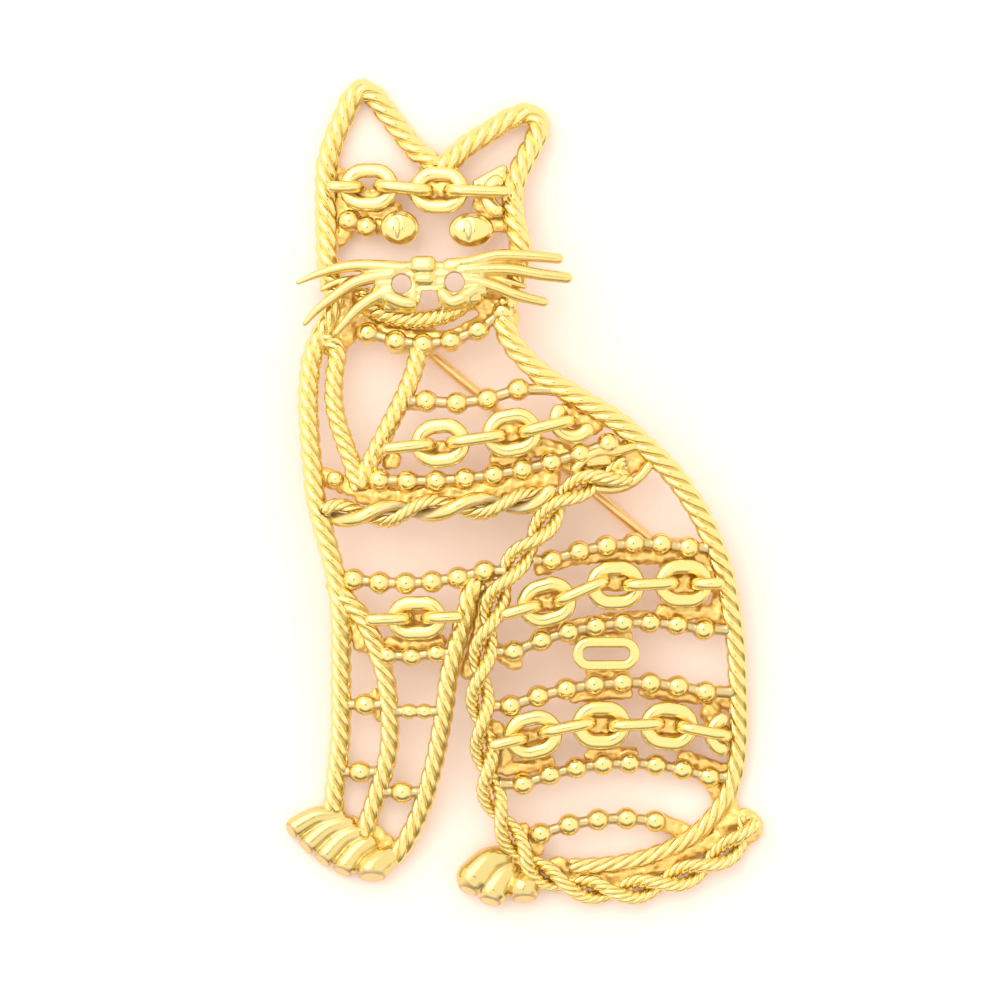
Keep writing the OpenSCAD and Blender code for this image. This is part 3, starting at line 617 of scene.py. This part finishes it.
chain_gold = gilt("chain_gold", chain_pale, chain_deep, dull=0.22, clouds=900)
for node, (face_on, hidden, left, right) in chains.items():
    lying = []
    standing = []
    hooks = []
    width = leg_link_width if node == "leg_chain" else link_width
    reach = (link_length - link_thick) / 2
    spots = [(on_plan(*place[:2]), place[2]) for place in face_on]
    for place, tilt in spots:
        middle = on_dome(place, chain_raised)
        lying.append(link(middle, *tangents(place, tilt), link_length, width, face_thick))
    for one, other in zip(spots, spots[1:]):
        standing.append(upright(link_end(*one, 1, reach), link_end(*other, -1, reach)))
    for hooked_to, spot, side in ((left, spots[0], -1), (right, spots[-1], 1)):
        if hooked_to is not None:
            foot = hooked_to / 1000 + side * hook_in
            hooks.append(rounded(hook(link_end(*spot, side, reach), foot, spot[1])))
    meshes = [flattened(cast_wire(node, lying, closed=True, sides=link_sides), face_flat)]
    if hidden:
        place = on_plan(*hidden[:2])
        tilt = hidden[2]
        radius = (link_width - face_thick) / 2
        half = arc(on_dome(place, chain_raised), *tangents(place, tilt), radius, *hidden[3:], face_thick)
        meshes.append(flattened(cast_wire(node, [rounded(half)], sides=link_sides), face_flat))
        # The brow chain's right hook runs on to its half link. The others have a link on edge there.
        if node != "brow_chain":
            standing.append(upright(link_end(*spots[-1], 1, reach), link_end(place, tilt, -1, radius)))
    if standing:
        meshes.append(cast_wire(node, standing, closed=True, sides=link_sides))
    if hooks:
        meshes.append(cast_wire(node, hooks, sides=link_sides))
    set_piece(node + "_links", joined(node, meshes), chain_gold, node)

place = on_plan(*centre_link[:2])
middle = on_dome(place, chain_raised)
ring = link(middle, *tangents(place, centre_link[2]), centre_length, centre_width, centre_thick)
mesh = cast_wire("centre_link", [ring], closed=True, sides=link_sides)
set_piece("centre_link_ring", flattened(mesh, centre_flat), chain_gold, "centre_link")


# The bead wire.
# Beaded wire, a row of round beads with short thick necks, cast between the ropes. The rows are the collar,
# the cheek, the bands over the chest, leg and haunch, and the rungs between the leg ropes.
bead_thick = 0.0019
side_bead_thick = 0.0015
low_bead_thick = 0.0017
rung_bead_thick = 0.0013
neck_thick = 0.00095
neck_flare = 0.00018
neck_in = 0.0006
neck_shade = 1.6
neck_rings = 5
bead_rings = 18
bead_sides = 20
blend_power = 5
bead_pale = (0.95, 0.76, 0.29, 1)
bead_deep = (0.89, 0.65, 0.28, 1)
# Each row in mm: where its first and last bead lie across, how far up its left end, middle and right end
# lie, how many beads it has, and how far across the necks at its left and right end reach.
bead_rows = {
    "chest_beads_upper": (-7.958, -0.275, 7.84, 7.77, 8.82, 4, -8.85, 2.6),
    "chest_beads_lower": (-11.895, 7.234, 1.26, 1.68, 4.27, 9, -12.97, None),
    "side_bead": (-15.605, -15.605, 1.33, 1.33, 1.33, 1, None, None),
    "leg_beads_upper": (-14.050, -3.100, -7.07, -7.35, -6.37, 6, None, -1.90),
    "leg_beads_lower": (-11.240, -7.130, -13.40, -13.50, -13.20, 3, None, -6.39),
    "haunch_beads_1": (2.506, 13.939, -5.46, -4.13, -4.41, 6, 1.59, 14.93),
    "haunch_beads_2": (-0.648, 15.266, -13.09, -10.78, -11.27, 8, -1.76, 16.65),
    "haunch_beads_3": (-0.919, 15.412, -17.64, -15.75, -16.52, 8, -2.07, 17.11),
    "haunch_beads_4": (0.130, 15.710, -24.22, -22.47, -23.66, 8, -1.25, 16.63),
    "haunch_beads_5": (1.594, 11.232, -28.42, -27.23, -27.37, 5, None, None),
    "leg_rung_1": (-13.082, -13.082, -17.64, -17.57, -17.57, 1, -14.14, -12.05),
    "leg_rung_2": (-9.409, -8.141, -18.13, -18.13, -18.13, 2, -10.10, -7.48),
    "leg_rung_3": (-13.528, -13.528, -23.10, -23.24, -23.38, 1, -14.42, -12.68),
    "leg_rung_4": (-10.001, -10.001, -24.85, -24.92, -24.99, 1, -10.94, -9.06)}
# The rows with no neck to a rope: where each bead lies across and up, in percent.
free_rows = {
    "cheek_beads": [(13.8, 82.9), (17.6, 82.1)],
    "collar_beads": [(17.8, 69.4), (23.7, 68.4), (29.4, 68), (35.2, 68.4), (40.9, 69.7), (46.1, 71.9)]}


def bead_string(middles, thick, left=None, right=None):
    """One run through a row of beads; left and right are where a neck goes on to a rope."""
    radius = thick / 2
    row = ([left] if left else []) + middles + ([right] if right else [])
    run = []
    for bead in middles:
        at = row.index(bead)
        before = row[max(at - 1, 0)]
        after = row[min(at + 1, len(row) - 1)]
        for k in range(bead_rings):
            turn = math.pi * (k + 0.5) / bead_rings
            off = -radius * math.cos(turn)
            size = radius * math.sin(turn)
            other, back = (before, after) if off < 0 else (after, before)
            if other is not bead:
                size = (size ** blend_power + (neck_thick / 2) ** blend_power) ** (1 / blend_power)
            elif back is not bead:
                other = 2 * bead - back
            else:
                other = bead + Vector((math.copysign(1, off), 0, 0))
            place = bead + (other - bead).normalized() * abs(off)
            run.append((place, size, place, min(radius, neck_shade * size)))
    for end, bead, at_right in ((left, middles[0], False), (right, middles[-1], True)):
        if not end:
            continue
        span = (end - bead).length
        foot = []
        for k in range(1, neck_rings + 1):
            off = radius + (span - radius) * k / neck_rings
            size = neck_thick / 2 + neck_flare * (k / neck_rings) ** 3
            place = bead.lerp(end, off / span)
            foot.append((place, size, place, neck_shade * size))
        run = run + foot if at_right else foot[::-1] + run
    return run


bead_gold = gilt("bead_gold", bead_pale, bead_deep, dull=0.13, clouds=700, skin=0.000006)
for node, (first, last, left_y, middle_y, right_y, count, left, right) in bead_rows.items():
    thick = {"side_bead": side_bead_thick, "leg_beads_lower": low_bead_thick,
             "leg_rung_2": rung_bead_thick}.get(node, bead_thick)
    rise = 4 * middle_y - 3 * left_y - right_y
    sag = 2 * (left_y + right_y - 2 * middle_y)
    middles = []
    for k in range(count):
        t = k / (count - 1) if count > 1 else 0.5
        up = left_y + rise * t + sag * t * t
        middles.append(on_dome(Vector(((first + (last - first) * t) / 1000, up / 1000, 0))))
    start = on_dome(Vector((left / 1000 - neck_in, middles[0].y, 0))) if left is not None else None
    end = on_dome(Vector((right / 1000 + neck_in, middles[-1].y, 0))) if right is not None else None
    mesh = cast_wire(node, [bead_string(middles, thick, start, end)], sides=bead_sides)
    set_piece(node + "_wire", mesh, bead_gold, node)
for node, row in free_rows.items():
    middles = [on_dome(on_plan(*share)) for share in row]
    mesh = cast_wire(node, [bead_string(middles, bead_thick)], sides=bead_sides)
    set_piece(node + "_wire", mesh, bead_gold, node)


# The eyes.
# Two oval buttons under the brow chain, domed, with a raised slit pupil inside a groove and a faint rim.
# They are cast with the cheek beads beside them.
eye_height = 0.00295
eye_deep = 0.00174
eye_sides = 64
eye_rings = 40
# The sizes of pupil, groove and rim are shares of the half eye.
pupil_left = -0.12
pupil_half = (0.13, 0.56)
pupil_high = 0.05
groove_deep = 0.11
groove_wide = 0.28
rim_at = 0.84
rim_wide = 0.06
rim_deep = 0.05
rim_dark = 0.5
eye_pale = (0.94, 0.75, 0.28, 1)
# Each eye: where it lies across and up, in percent, and its width in metres.
eyes = {"left_eye": (24.5, 82, 0.0033), "right_eye": (39.5, 81.7, 0.0038)}

eye_gold = gilt("eye_gold", eye_pale, deep_gold, dull=0.15, clouds=900, skin=0.000008)
for node, (across, up, width) in eyes.items():
    button = bmesh.new()
    bmesh.ops.create_uvsphere(button, u_segments=eye_sides, v_segments=eye_rings, radius=1)
    recess = button.verts.layers.float.new("recess")
    for point in button.verts:
        if point.co.z > 0:
            ring = math.hypot((point.co.x - pupil_left) / pupil_half[0], point.co.y / pupil_half[1])
            groove = math.exp(-((ring - 1) / groove_wide) ** 2)
            rim = math.exp(-((point.co.xy.length - rim_at) / rim_wide) ** 2)
            point.co.z += pupil_high * max(0, 1 - ring) - groove_deep * groove - rim_deep * rim
            # Painted shade in the groove round the pupil and along the rim.
            point[recess] = min(1, groove + rim_dark * rim)
        point[recess] = max(point[recess], side_shade * min(1, 1 - point.normal.z / side_shade_slope))
    bmesh.ops.scale(button, verts=button.verts, vec=(width / 2, eye_height / 2, eye_deep / 2))
    bmesh.ops.translate(button, verts=button.verts, vec=on_dome(on_plan(across, up)))
    mesh = as_mesh(node, button)
    mesh.shade_smooth()
    set_piece(node + "_button", mesh, eye_gold, node)


# The muzzle and the whiskers.
# One lump of the casting that stands over the cheeks: a square nose over a W of a mouth, round openings on
# both sides of it, and three thick whiskers each way that lie over the ropes of the face.
whisker_thick = 0.0010
whisker_gap = 0.00008
taper_power = 2.2
muzzle_raised = (outline_thick + whisker_thick) / 2 + whisker_gap
muzzle_voxel = 0.00008
muzzle_soft = 5
muzzle_shade = 7.0
# The muzzle's gold is a darker copy of the casting's: painted shade against the light its raised faces
# catch.
muzzle_pale = (0.86, 0.67, 0.25, 1)
muzzle_deep = (0.88, 0.60, 0.24, 1)
lump_step = 0.0003
lump_sides = 16
soft_share = 0.5
speck_points = 60
hollow_rounds = 4
drill_deep = 0.006
hole_sides = 40
hole_radius = 0.00080
hole_rim = 0.00016
muzzle_holes = [(24.9, 75.2), (36, 75.4)]
mouth_hole = (30.7, 73.3)
mouth_hole_size = (0.0018, 0.0016, drill_deep)
mouth_hole_top = 0.66
# Each: its route, its radius at both ends in mm, and its height over the whiskers in mm.
muzzle_parts = [
    ([(22.9, 77.2), (40.5, 77.2)], 0.48, 0.48, -0.08),
    ([(21.6, 76.3), (41.3, 76.3)], 0.48, 0.48, -0.06),
    ([(20.3, 75.3), (42.1, 75.3)], 0.48, 0.48, -0.08),
    ([(19.7, 74.3), (41.7, 74.3)], 0.48, 0.48, -0.12),
    ([(20.3, 73.4), (40.5, 73.5)], 0.48, 0.48, -0.18),
    ([(22, 72.5), (27, 72.3)], 0.42, 0.42, -0.25),
    ([(34.2, 72.4), (38.8, 72.9)], 0.42, 0.42, -0.25),
    ([(28.1, 77.8), (30.8, 77.8)], 0.54, 0.54, 0.32),
    ([(28.1, 77.2), (30.8, 77.2)], 0.54, 0.54, 0.32),
    ([(28.7, 75.8), (30.8, 75.8)], 0.58, 0.58, 0.14),
    ([(21.4, 74.8), (22.2, 73.7)], 0.52, 0.52, 0.05),
    ([(22.4, 73.6), (24.9, 73), (27, 72.8)], 0.66, 0.56, 0.08),
    ([(27.5, 74.8), (27.3, 73.4)], 0.38, 0.38, 0.04),
    ([(33.5, 74), (35.4, 73), (37.7, 73.4)], 0.62, 0.64, 0.08),
    ([(37.7, 73.6), (40.5, 74.6)], 0.60, 0.52, 0.00),
    ([(34.6, 77.2), (36.3, 77.2)], 0.50, 0.50, 0.08),
    ([(24.1, 77.1), (26.2, 77.2)], 0.52, 0.50, 0.08),
    ([(15.3, 75.9), (11.5, 75.5), (8.2, 74.6)], 0.34, 0.24, -0.36),
    ([(40.5, 77.2), (45.5, 77.5), (49.7, 77.6)], 0.34, 0.24, -0.36),
    ([(40, 76.1), (45.5, 75.7), (50.5, 74.9)], 0.38, 0.26, -0.36)]
# Each: its route, and its radius at the muzzle and at the tip in mm.
whiskers = [
    ([(25.4, 77), (22.9, 77.2), (14.7, 77.4), (8.2, 76.6), (3.1, 75.4)], 0.58, 0.20),
    ([(22.9, 76.3), (18.7, 76), (14.5, 75.2), (10.7, 73.7), (7.3, 72.2), (4.6, 70.5)], 0.58, 0.24),
    ([(22.9, 74.7), (18.9, 73.5), (15.7, 72.2), (13.2, 70.7), (11.1, 69.3)], 0.58, 0.28),
    ([(34.8, 77.5), (39.2, 77.8), (45.1, 78.6), (51.8, 78.5), (57.7, 78.2)], 0.54, 0.45),
    ([(37.1, 76.7), (41.3, 76.9), (47.6, 76.9), (53.9, 76.3), (59.5, 75.9)], 0.54, 0.48),
    ([(37.9, 75.8), (41.3, 75.4), (45.1, 74.7), (49.7, 73.7), (54.7, 73)], 0.54, 0.40)]


def tapered(route, start, end, raised):
    """A run over the dome whose radius goes from start to end, in mm."""
    line = [on_dome(place, raised) for place in evenly(bent(route), lump_step)]
    last = len(line) - 1
    return rounded([(place, (start + (end - start) * (i / last) ** taper_power) / 1000, place, 1)
                    for i, place in enumerate(line)])


def drop_specks(mesh):
    """Takes out the tiny skins that fusing can leave round an empty spot inside."""
    work = bmesh.new()
    work.from_mesh(mesh)
    unseen = set(work.verts)
    while unseen:
        waiting = [unseen.pop()]
        skin = set(waiting)
        while waiting:
            point = waiting.pop()
            near = {edge.other_vert(point) for edge in point.link_edges} - skin
            skin |= near
            waiting.extend(near)
        unseen -= skin
        if len(skin) < speck_points:
            bmesh.ops.delete(work, geom=list(skin))
    work.to_mesh(mesh)
    work.free()


def fused(name, parts, voxel, rounds, drills=None):
    """One casting out of overlapping round parts, the drills' shape taken out and its seams softened."""
    rough = set_down(name, parts)
    for step in ("skin", "bored") if drills else ("skin",):
        if step == "bored":
            bore = rough.modifiers.new("bore", "BOOLEAN")
            bore.operation = "DIFFERENCE"
            bore.object = drills
        skin = rough.modifiers.new(step, "REMESH")
        skin.mode = "VOXEL"
        skin.voxel_size = voxel
    soft = rough.modifiers.new("soft", "SMOOTH")
    soft.factor = soft_share
    soft.iterations = rounds
    mesh = bpy.data.meshes.new_from_object(rough.evaluated_get(bpy.context.evaluated_depsgraph_get()))
    bpy.data.objects.remove(rough)
    drop_specks(mesh)
    mesh.name = name
    return mesh


def mark_hollows(mesh, strength):
    """Writes recess, painted shade, from how hollow the skin is at each point and how steep its sides are.
    """
    work = bmesh.new()
    work.from_mesh(mesh)
    work.normal_update()
    level = {}
    for point in work.verts:
        leans = [(edge.other_vert(point).co - point.co).normalized().dot(point.normal)
                 for edge in point.link_edges]
        level[point.index] = sum(leans) / max(1, len(leans)) * strength
    for turn in range(hollow_rounds):
        spread = {}
        for point in work.verts:
            near = [level[edge.other_vert(point).index] for edge in point.link_edges]
            spread[point.index] = (level[point.index] + sum(near) / max(1, len(near))) / 2
        level = spread
    work.free()
    recess = mesh.attributes.get("recess") or mesh.attributes.new("recess", "FLOAT", "POINT")
    for index, value in level.items():
        side = side_shade * min(1, 1 - mesh.vertices[index].normal.z / side_shade_slope)
        recess.data[index].value = min(1, max(0, value, side))
    mesh.shade_smooth()
    return mesh


muzzle_runs = [tapered(route, start, end, muzzle_raised + raised / 1000)
               for route, start, end, raised in muzzle_parts]
muzzle_runs += [tapered(route, start, end, muzzle_raised) for route, start, end in whiskers]
drill = bmesh.new()
for across, up in muzzle_holes:
    spot = Matrix.Translation(on_dome(on_plan(across, up), muzzle_raised))
    bmesh.ops.create_cone(drill, cap_ends=True, segments=hole_sides, radius1=hole_radius,
                          radius2=hole_radius, depth=drill_deep, matrix=spot)
cut = bmesh.ops.create_cube(drill, size=1, matrix=Matrix.Diagonal((*mouth_hole_size, 1)))["verts"]
for corner in cut:
    if corner.co.y > 0:
        corner.co.x *= mouth_hole_top
bmesh.ops.translate(drill, verts=cut, vec=on_dome(on_plan(*mouth_hole), muzzle_raised))
drills = set_down("drills", as_mesh("drills", drill))
muzzle_gold = gilt("muzzle_gold", muzzle_pale, muzzle_deep,
                   dull=0.24, clouds=1000, skin=0.00002, mottle=0.6)
lump = cast_wire("muzzle", muzzle_runs, sides=lump_sides)
muzzle = mark_hollows(fused("muzzle", lump, muzzle_voxel, muzzle_soft, drills), muzzle_shade)
bpy.data.objects.remove(drills)
# Painted shade: a dark ring along the rim of each round opening.
for point, mark in zip(muzzle.vertices, muzzle.attributes["recess"].data):
    for across, up in muzzle_holes:
        off_rim = (point.co.xy - on_plan(across, up).xy).length - hole_radius
        mark.value = max(mark.value, math.exp(-(off_rim / hole_rim) ** 2))
set_piece("muzzle_casting", muzzle, muzzle_gold, "muzzle")


# The paws.
# Smooth polished toes side by side, cast with the ropes: five on the front paw and three large ones on the
# rear paw. The end of each is a flat that faces outwards and a little up, left where the claw was cut. A
# deeper tone on the flat and a dark edge round it are painted reflection.
paw_voxel = 0.00008
paw_soft = 4
paw_shade = 8.0
# The paws' gold is a darker copy of the casting's: painted shade against the light the toes catch.
paw_pale = (0.80, 0.63, 0.24, 1)
paw_deep = (0.84, 0.60, 0.28, 1)
toe_sides = 24
toe_swell = 0.8
flat_lean = math.radians(24)
flat_tone = 0.50
flat_edge = 0.22
flat_line = 0.6 * flat_edge
# Each toe: its route, its radius at the heel and at the tip in mm, where its flat faces in degrees, and how
# far out from the middle of the tip it lies, as a share of the tip's radius.
front_toes = [
    ([(11.5, 11.6), (6.9, 11.4), (2.7, 10.1)], 0.74, 0.92, 212, 0.68),
    ([(13.4, 10.6), (9.4, 10), (5.7, 8.3)], 0.76, 0.95, 222, 0.68),
    ([(15.5, 9.5), (12.4, 8.8), (9, 6.8)], 0.78, 0.98, 232, 0.68),
    ([(18, 8.3), (15.5, 7.4), (13, 5.6)], 0.82, 1.05, 245, 0.68),
    ([(22, 6.6), (20.3, 6), (18.7, 5.2)], 1.05, 1.34, 268, 0.62)]
rear_toes = [
    ([(46.3, 6.5), (43, 6), (40, 4.1)], 1.00, 1.50, 246, 0.86),
    ([(48, 5), (45.9, 4), (44, 2.5)], 0.95, 1.34, 254, 0.78),
    ([(51.8, 4.1), (50.5, 2.9)], 1.05, 1.42, 272, 0.76)]


def paw(name, toes):
    """Toes that lie on the back plane, fused at their sides."""
    parts = []
    flats = []
    for route, heel, tip, facing, flat_out in toes:
        line = evenly(bent(route), lump_step)
        last = len(line) - 1
        run = []
        for i, place in enumerate(line):
            radius = (heel + (tip - heel) * (i / last) ** toe_swell) / 1000
            run.append((Vector((place.x, place.y, radius)), radius, place, 1))
        turn = math.radians(facing)
        level = math.cos(flat_lean)
        out = Vector((math.cos(turn) * level, math.sin(turn) * level, math.sin(flat_lean)))
        middle = run[-1][0] + flat_out * run[-1][1] * out
        flats.append((middle, out, run[-1][1], math.sqrt(1 - flat_out ** 2)))
        toe = bmesh.new()
        toe.from_mesh(cast_wire(name, [rounded(run)], sides=toe_sides))
        bmesh.ops.bisect_plane(toe, geom=toe.verts[:] + toe.edges[:] + toe.faces[:], clear_outer=True,
                               plane_co=middle, plane_no=out)
        bmesh.ops.holes_fill(toe, edges=[edge for edge in toe.edges if edge.is_boundary])
        parts.append(as_mesh(name, toe))
    mesh = mark_hollows(fused(name, joined(name, parts), paw_voxel, paw_soft), paw_shade)
    # Painted reflection: a deeper tone on each flat and a dark edge round it.
    for point, mark in zip(mesh.vertices, mesh.attributes["recess"].data):
        for middle, out, radius, reach in flats:
            ahead = (point.co - middle).dot(out) / radius
            aside = (point.co - middle - ahead * radius * out).length / radius
            if abs(ahead) < flat_edge and aside < reach + flat_edge:
                edge = math.exp(-((aside - reach) / flat_line) ** 2)
                mark.value = max(mark.value, edge, flat_tone if aside < reach else 0)
    return mesh


paw_gold = gilt("paw_gold", paw_pale, paw_deep, dull=0.20, clouds=900, skin=0.000012, mottle=0.5)
set_piece("front_paw_toes", paw("front_paw", front_toes), paw_gold, "front_paw")
set_piece("rear_paw_toes", paw("rear_paw", rear_toes), paw_gold, "rear_paw")


# The ear webs.
# Between the two ear ropes, over the second brow link, the casting is a flat web, and a pointed one fills
# the corner between the right ear rope and the chain. Both are polished with the ropes.
web_voxel = 0.00010
web_soft = 10
web_shade = 2.5
web_flat = 0.55
# Each bar of a web: its route, and its radius and its height over the middle of the ropes in mm, before the
# web is pressed flat.
ear_webs = [
    ([(30, 89.3), (35.4, 89.3)], 0.62, -0.45),
    ([(30.4, 88.6), (34.6, 88.6)], 0.55, -0.45),
    ([(40.7, 87.3), (46.1, 89)], 0.44, -0.15),
    ([(42.1, 87.2), (46.1, 88.1)], 0.44, -0.15),
    ([(43.8, 86.9), (46.1, 87.3)], 0.44, -0.15)]


def bars(parts, wide=1):
    """Even runs along routes, each given with its radius and its height over the ropes' middle in mm."""
    return [tapered(route, wide * radius, wide * radius, raised / 1000) for route, radius, raised in parts]


web = flattened(fused("ear_webs", cast_wire("ear_webs", bars(ear_webs)), web_voxel, web_soft), web_flat, 0)
set_piece("ear_webs", mark_hollows(web, web_shade), muzzle_gold)


# The shoulder knot.
# Where the haunch braid, the chest beads and the back rope meet, the braid's ends are drawn over two odd
# beads, and a bent wire runs under them to the back rope: one lump in the casting.
knot_voxel = 0.00009
knot_soft = 3
knot_shade = 2.5
# Each: its route, and its radius and its height over the middle of the openwork in mm.
knot_parts = [
    ([(68.3, 56.1), (68.8, 56.1)], 0.74, 0.15),
    ([(70.6, 52.4), (71.1, 52.4)], 0.68, 0.20),
    ([(66, 50.8), (69, 50.7), (71.9, 51.1), (74.8, 52.2), (76.7, 53.6)], 0.45, -0.05),
    ([(61.2, 53.1), (63.9, 54.6), (66.5, 55.2), (69.8, 55.2), (73.6, 55.8), (76.5, 55.9)], 0.46, 0.20),
    ([(64.4, 53.8), (67.7, 54)], 0.50, 0.05)]

knot = fused("shoulder_knot", cast_wire("knot", bars(knot_parts)), knot_voxel, knot_soft)
set_piece("shoulder_knot", mark_hollows(knot, knot_shade), muzzle_gold)


# The fillets.
# Where wires meet, the mould let metal run between them: low webs behind the chains, under the bead rows
# and in the corners of ropes. They are lumpy and rougher than the wires, and their deeper orange is painted
# shade of the low places between them.
fillet_voxel = 0.00013
fillet_soft = 6
fillet_shade = 4.0
fillet_wide = 1.25
fillet_flat = 0.55
fillet_low = -0.0006
# Their deeper orange is painted shade of the low places between the wires.
fillet_pale = (0.96, 0.67, 0.22, 1)
fillet_deep = (0.90, 0.53, 0.14, 1)
lump_depth = 0.00016
lump_scale = 1900
# Each: its route, and its radius and its height over the middle of the openwork in mm, before the web is
# widened and pressed flat.
fillets = {
    "face_fillets": [
        ([(28.7, 86.6), (32.5, 86.6), (36.3, 86.6)], 0.95, -0.15),
        ([(14.9, 86.2), (18.2, 85.9), (21.6, 86.2)], 0.55, -0.45),
        ([(11.3, 88.7), (12.8, 87.1), (11.9, 84.9)], 0.55, -0.40),
        ([(10.1, 80.3), (12.8, 81.5)], 0.70, -0.60),
        ([(10.1, 83.9), (12.4, 83.2)], 0.60, -0.45),
        ([(13.2, 84.7), (17.4, 83.9), (23.3, 84.2)], 0.55, -0.50),
        ([(18.7, 82.3), (21.6, 82)], 0.55, -0.35),
        ([(41.3, 84.7), (43.8, 83.9), (46.3, 83.9)], 0.55, -0.40),
        ([(41.7, 82.5), (46.8, 82.3)], 0.55, -0.45),
        ([(16.6, 71.2), (21.4, 69.5), (25.6, 68.8), (29.8, 68.6), (36.1, 68.9), (42.1, 70.7)], 0.62, -0.75),
        ([(14, 74.6), (12.4, 71.9), (13.2, 69.1)], 0.80, -0.30),
        ([(40, 73.4), (44, 72.7), (47.2, 71.2)], 0.80, -0.30)],
    "chest_fillets": [
        ([(6.9, 68.1), (11.5, 67.4)], 0.60, -0.40),
        ([(26.2, 60.9), (29.6, 61.2)], 0.55, -0.45),
        ([(22.6, 54), (23.1, 54.2)], 0.60, -0.45),
        ([(30.4, 55.4), (36.3, 55.9)], 0.50, -0.45),
        ([(44.7, 57.6), (50.9, 57.8)], 0.95, -0.15),
        ([(59.7, 59.7), (64.8, 58.5)], 0.80, -0.55),
        ([(44.7, 54.3), (50.5, 54)], 0.55, -0.50),
        ([(52.6, 55.9), (58.9, 54.9)], 0.75, -0.60),
        ([(8.2, 52.3), (12.4, 51.3), (16.6, 50.4)], 0.65, -0.55),
        ([(16.6, 50.1), (25.6, 49.8), (32.9, 50.2)], 0.72, -0.70),
        ([(32.9, 50.6), (43.4, 50.8), (56, 52)], 0.80, -0.70),
        ([(60.6, 54), (67.7, 54.4), (73.6, 55.6)], 0.80, -0.60),
        ([(64.8, 52.3), (70.2, 53), (74.8, 54.4)], 0.75, -0.60)],
    "leg_fillets": [
        ([(11.5, 39.1), (14, 36), (17, 32.4)], 0.80, -0.60),
        ([(39.2, 40), (43.8, 39.1)], 0.60, -0.45),
        ([(23.3, 35.1), (30.8, 35.3)], 0.60, -0.60),
        ([(22.4, 32.3), (27.5, 32.1), (32.9, 32.6)], 0.50, -0.45),
        ([(19.5, 25.9), (20.5, 23.7)], 0.55, -0.40),
        ([(42.6, 39.3), (41.5, 36.2), (40.7, 32.6), (38.8, 28.8)], 0.55, -1.00),
        ([(14, 10.6), (16.1, 9.8), (18.7, 8.9)], 0.60, -0.20),
        ([(19.5, 9.4), (22.9, 7.4)], 0.60, -0.20)],
    "haunch_fillets": [
        ([(53.9, 41.2), (58.5, 42.1), (64.4, 42.7), (74.8, 42.8)], 0.55, -0.55),
        ([(74.8, 42.7), (85.3, 42.7), (90.4, 41.7)], 0.60, -0.55),
        ([(51.4, 37.2), (58.5, 37.4)], 0.75, -0.15),
        ([(66.5, 39.8), (71.9, 39.8)], 0.75, -0.15),
        ([(80.7, 39.4), (87.4, 39.3)], 0.95, -0.15),
        ([(89.5, 41.5), (92, 38.4), (91.2, 35.3)], 0.70, -0.55),
        ([(79.9, 36.1), (90.4, 35.9)], 0.58, -0.55),
        ([(53.9, 33.3), (60.6, 34.2), (67.3, 34.9)], 0.50, -0.55),
        ([(67.3, 35.1), (76.9, 35.5)], 0.48, -0.55),
        ([(61, 32.9), (66.5, 32.7), (71.9, 33)], 0.52, -0.50),
        ([(64.8, 28.9), (71.1, 28.5)], 0.55, -0.50),
        ([(44.7, 31.4), (48.4, 30)], 0.60, -0.50)],
    "lower_fillets": [
        ([(61, 26), (71.9, 26.4)], 0.50, -0.50),
        ([(76.1, 26.5), (86.6, 25.8)], 0.55, -0.50),
        ([(91.2, 26.1), (95.4, 24.5)], 0.65, -0.45),
        ([(44.2, 22.1), (47.2, 20.1), (45.5, 17.7)], 0.65, -0.50),
        ([(49.7, 20.9), (56, 21.3)], 0.65, -0.70),
        ([(63.9, 22.5), (69.8, 22.5)], 0.85, -0.15),
        ([(78.2, 22.4), (84.5, 22.2)], 0.85, -0.15),
        ([(89.5, 24), (93.3, 19.9)], 0.70, -0.55),
        ([(47.2, 17), (55.6, 18)], 0.50, -0.50),
        ([(64.4, 18.8), (73.2, 19.1)], 0.48, -0.50),
        ([(84.1, 18.5), (92.9, 16.8)], 0.55, -0.50),
        ([(50.5, 9.6), (53, 7.7)], 0.65, -0.40),
        ([(79, 11), (81.6, 10.3), (86.2, 8.9)], 0.60, -0.20),
        ([(57.7, 5.5), (63.1, 4.1), (70.6, 4.3), (76.9, 5.3)], 0.72, -0.35),
        ([(76.9, 5.3), (85.3, 7.4), (92.5, 9.1)], 0.72, -0.35),
        ([(92, 10.1), (95.4, 11.3), (97.9, 11), (99, 10), (97.5, 8.9)], 0.62, -0.05),
        ([(90.8, 14.6), (93.7, 12.7)], 0.60, -0.30),
        ([(46.3, 6.7), (50.9, 5)], 0.65, -0.20)]}


def lumpy(mesh):
    """The same mesh with the uneven skin of metal as it left the mould."""
    shifts = [lump_depth * noise.noise(lump_scale * point.co) * point.normal for point in mesh.vertices]
    for point, shift in zip(mesh.vertices, shifts):
        point.co += shift
        point.co.z = max(point.co.z, lowest)
    return mesh


fillet_gold = gilt("fillet_gold", fillet_pale, fillet_deep,
                   dull=0.42, clouds=1600, skin=0.00006, mottle=1.6)
for name, parts in fillets.items():
    web = fused(name, cast_wire(name, bars(parts, fillet_wide)), fillet_voxel, fillet_soft)
    web = lumpy(flattened(web, fillet_flat, fillet_low))
    set_piece(name, mark_hollows(web, fillet_shade), fillet_gold)


# The pin.
# A straight brass stem that turns on the rivet of a small bracket under the collar and drops into a hook
# behind the upper haunch beads. It is gilt too, and drawn, so its skin is smoother than the casting's.
pin_pale = (0.96, 0.67, 0.28, 1)
pin_deep = (0.88, 0.54, 0.20, 1)

pin_gold = gilt("pin_gold", pin_pale, pin_deep, dull=0.38, clouds=1200, skin=0.000004)
for node in ("hinge_bracket", "catch", "pin_stem"):
    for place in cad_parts[node].material_slots:
        place.material = pin_gold
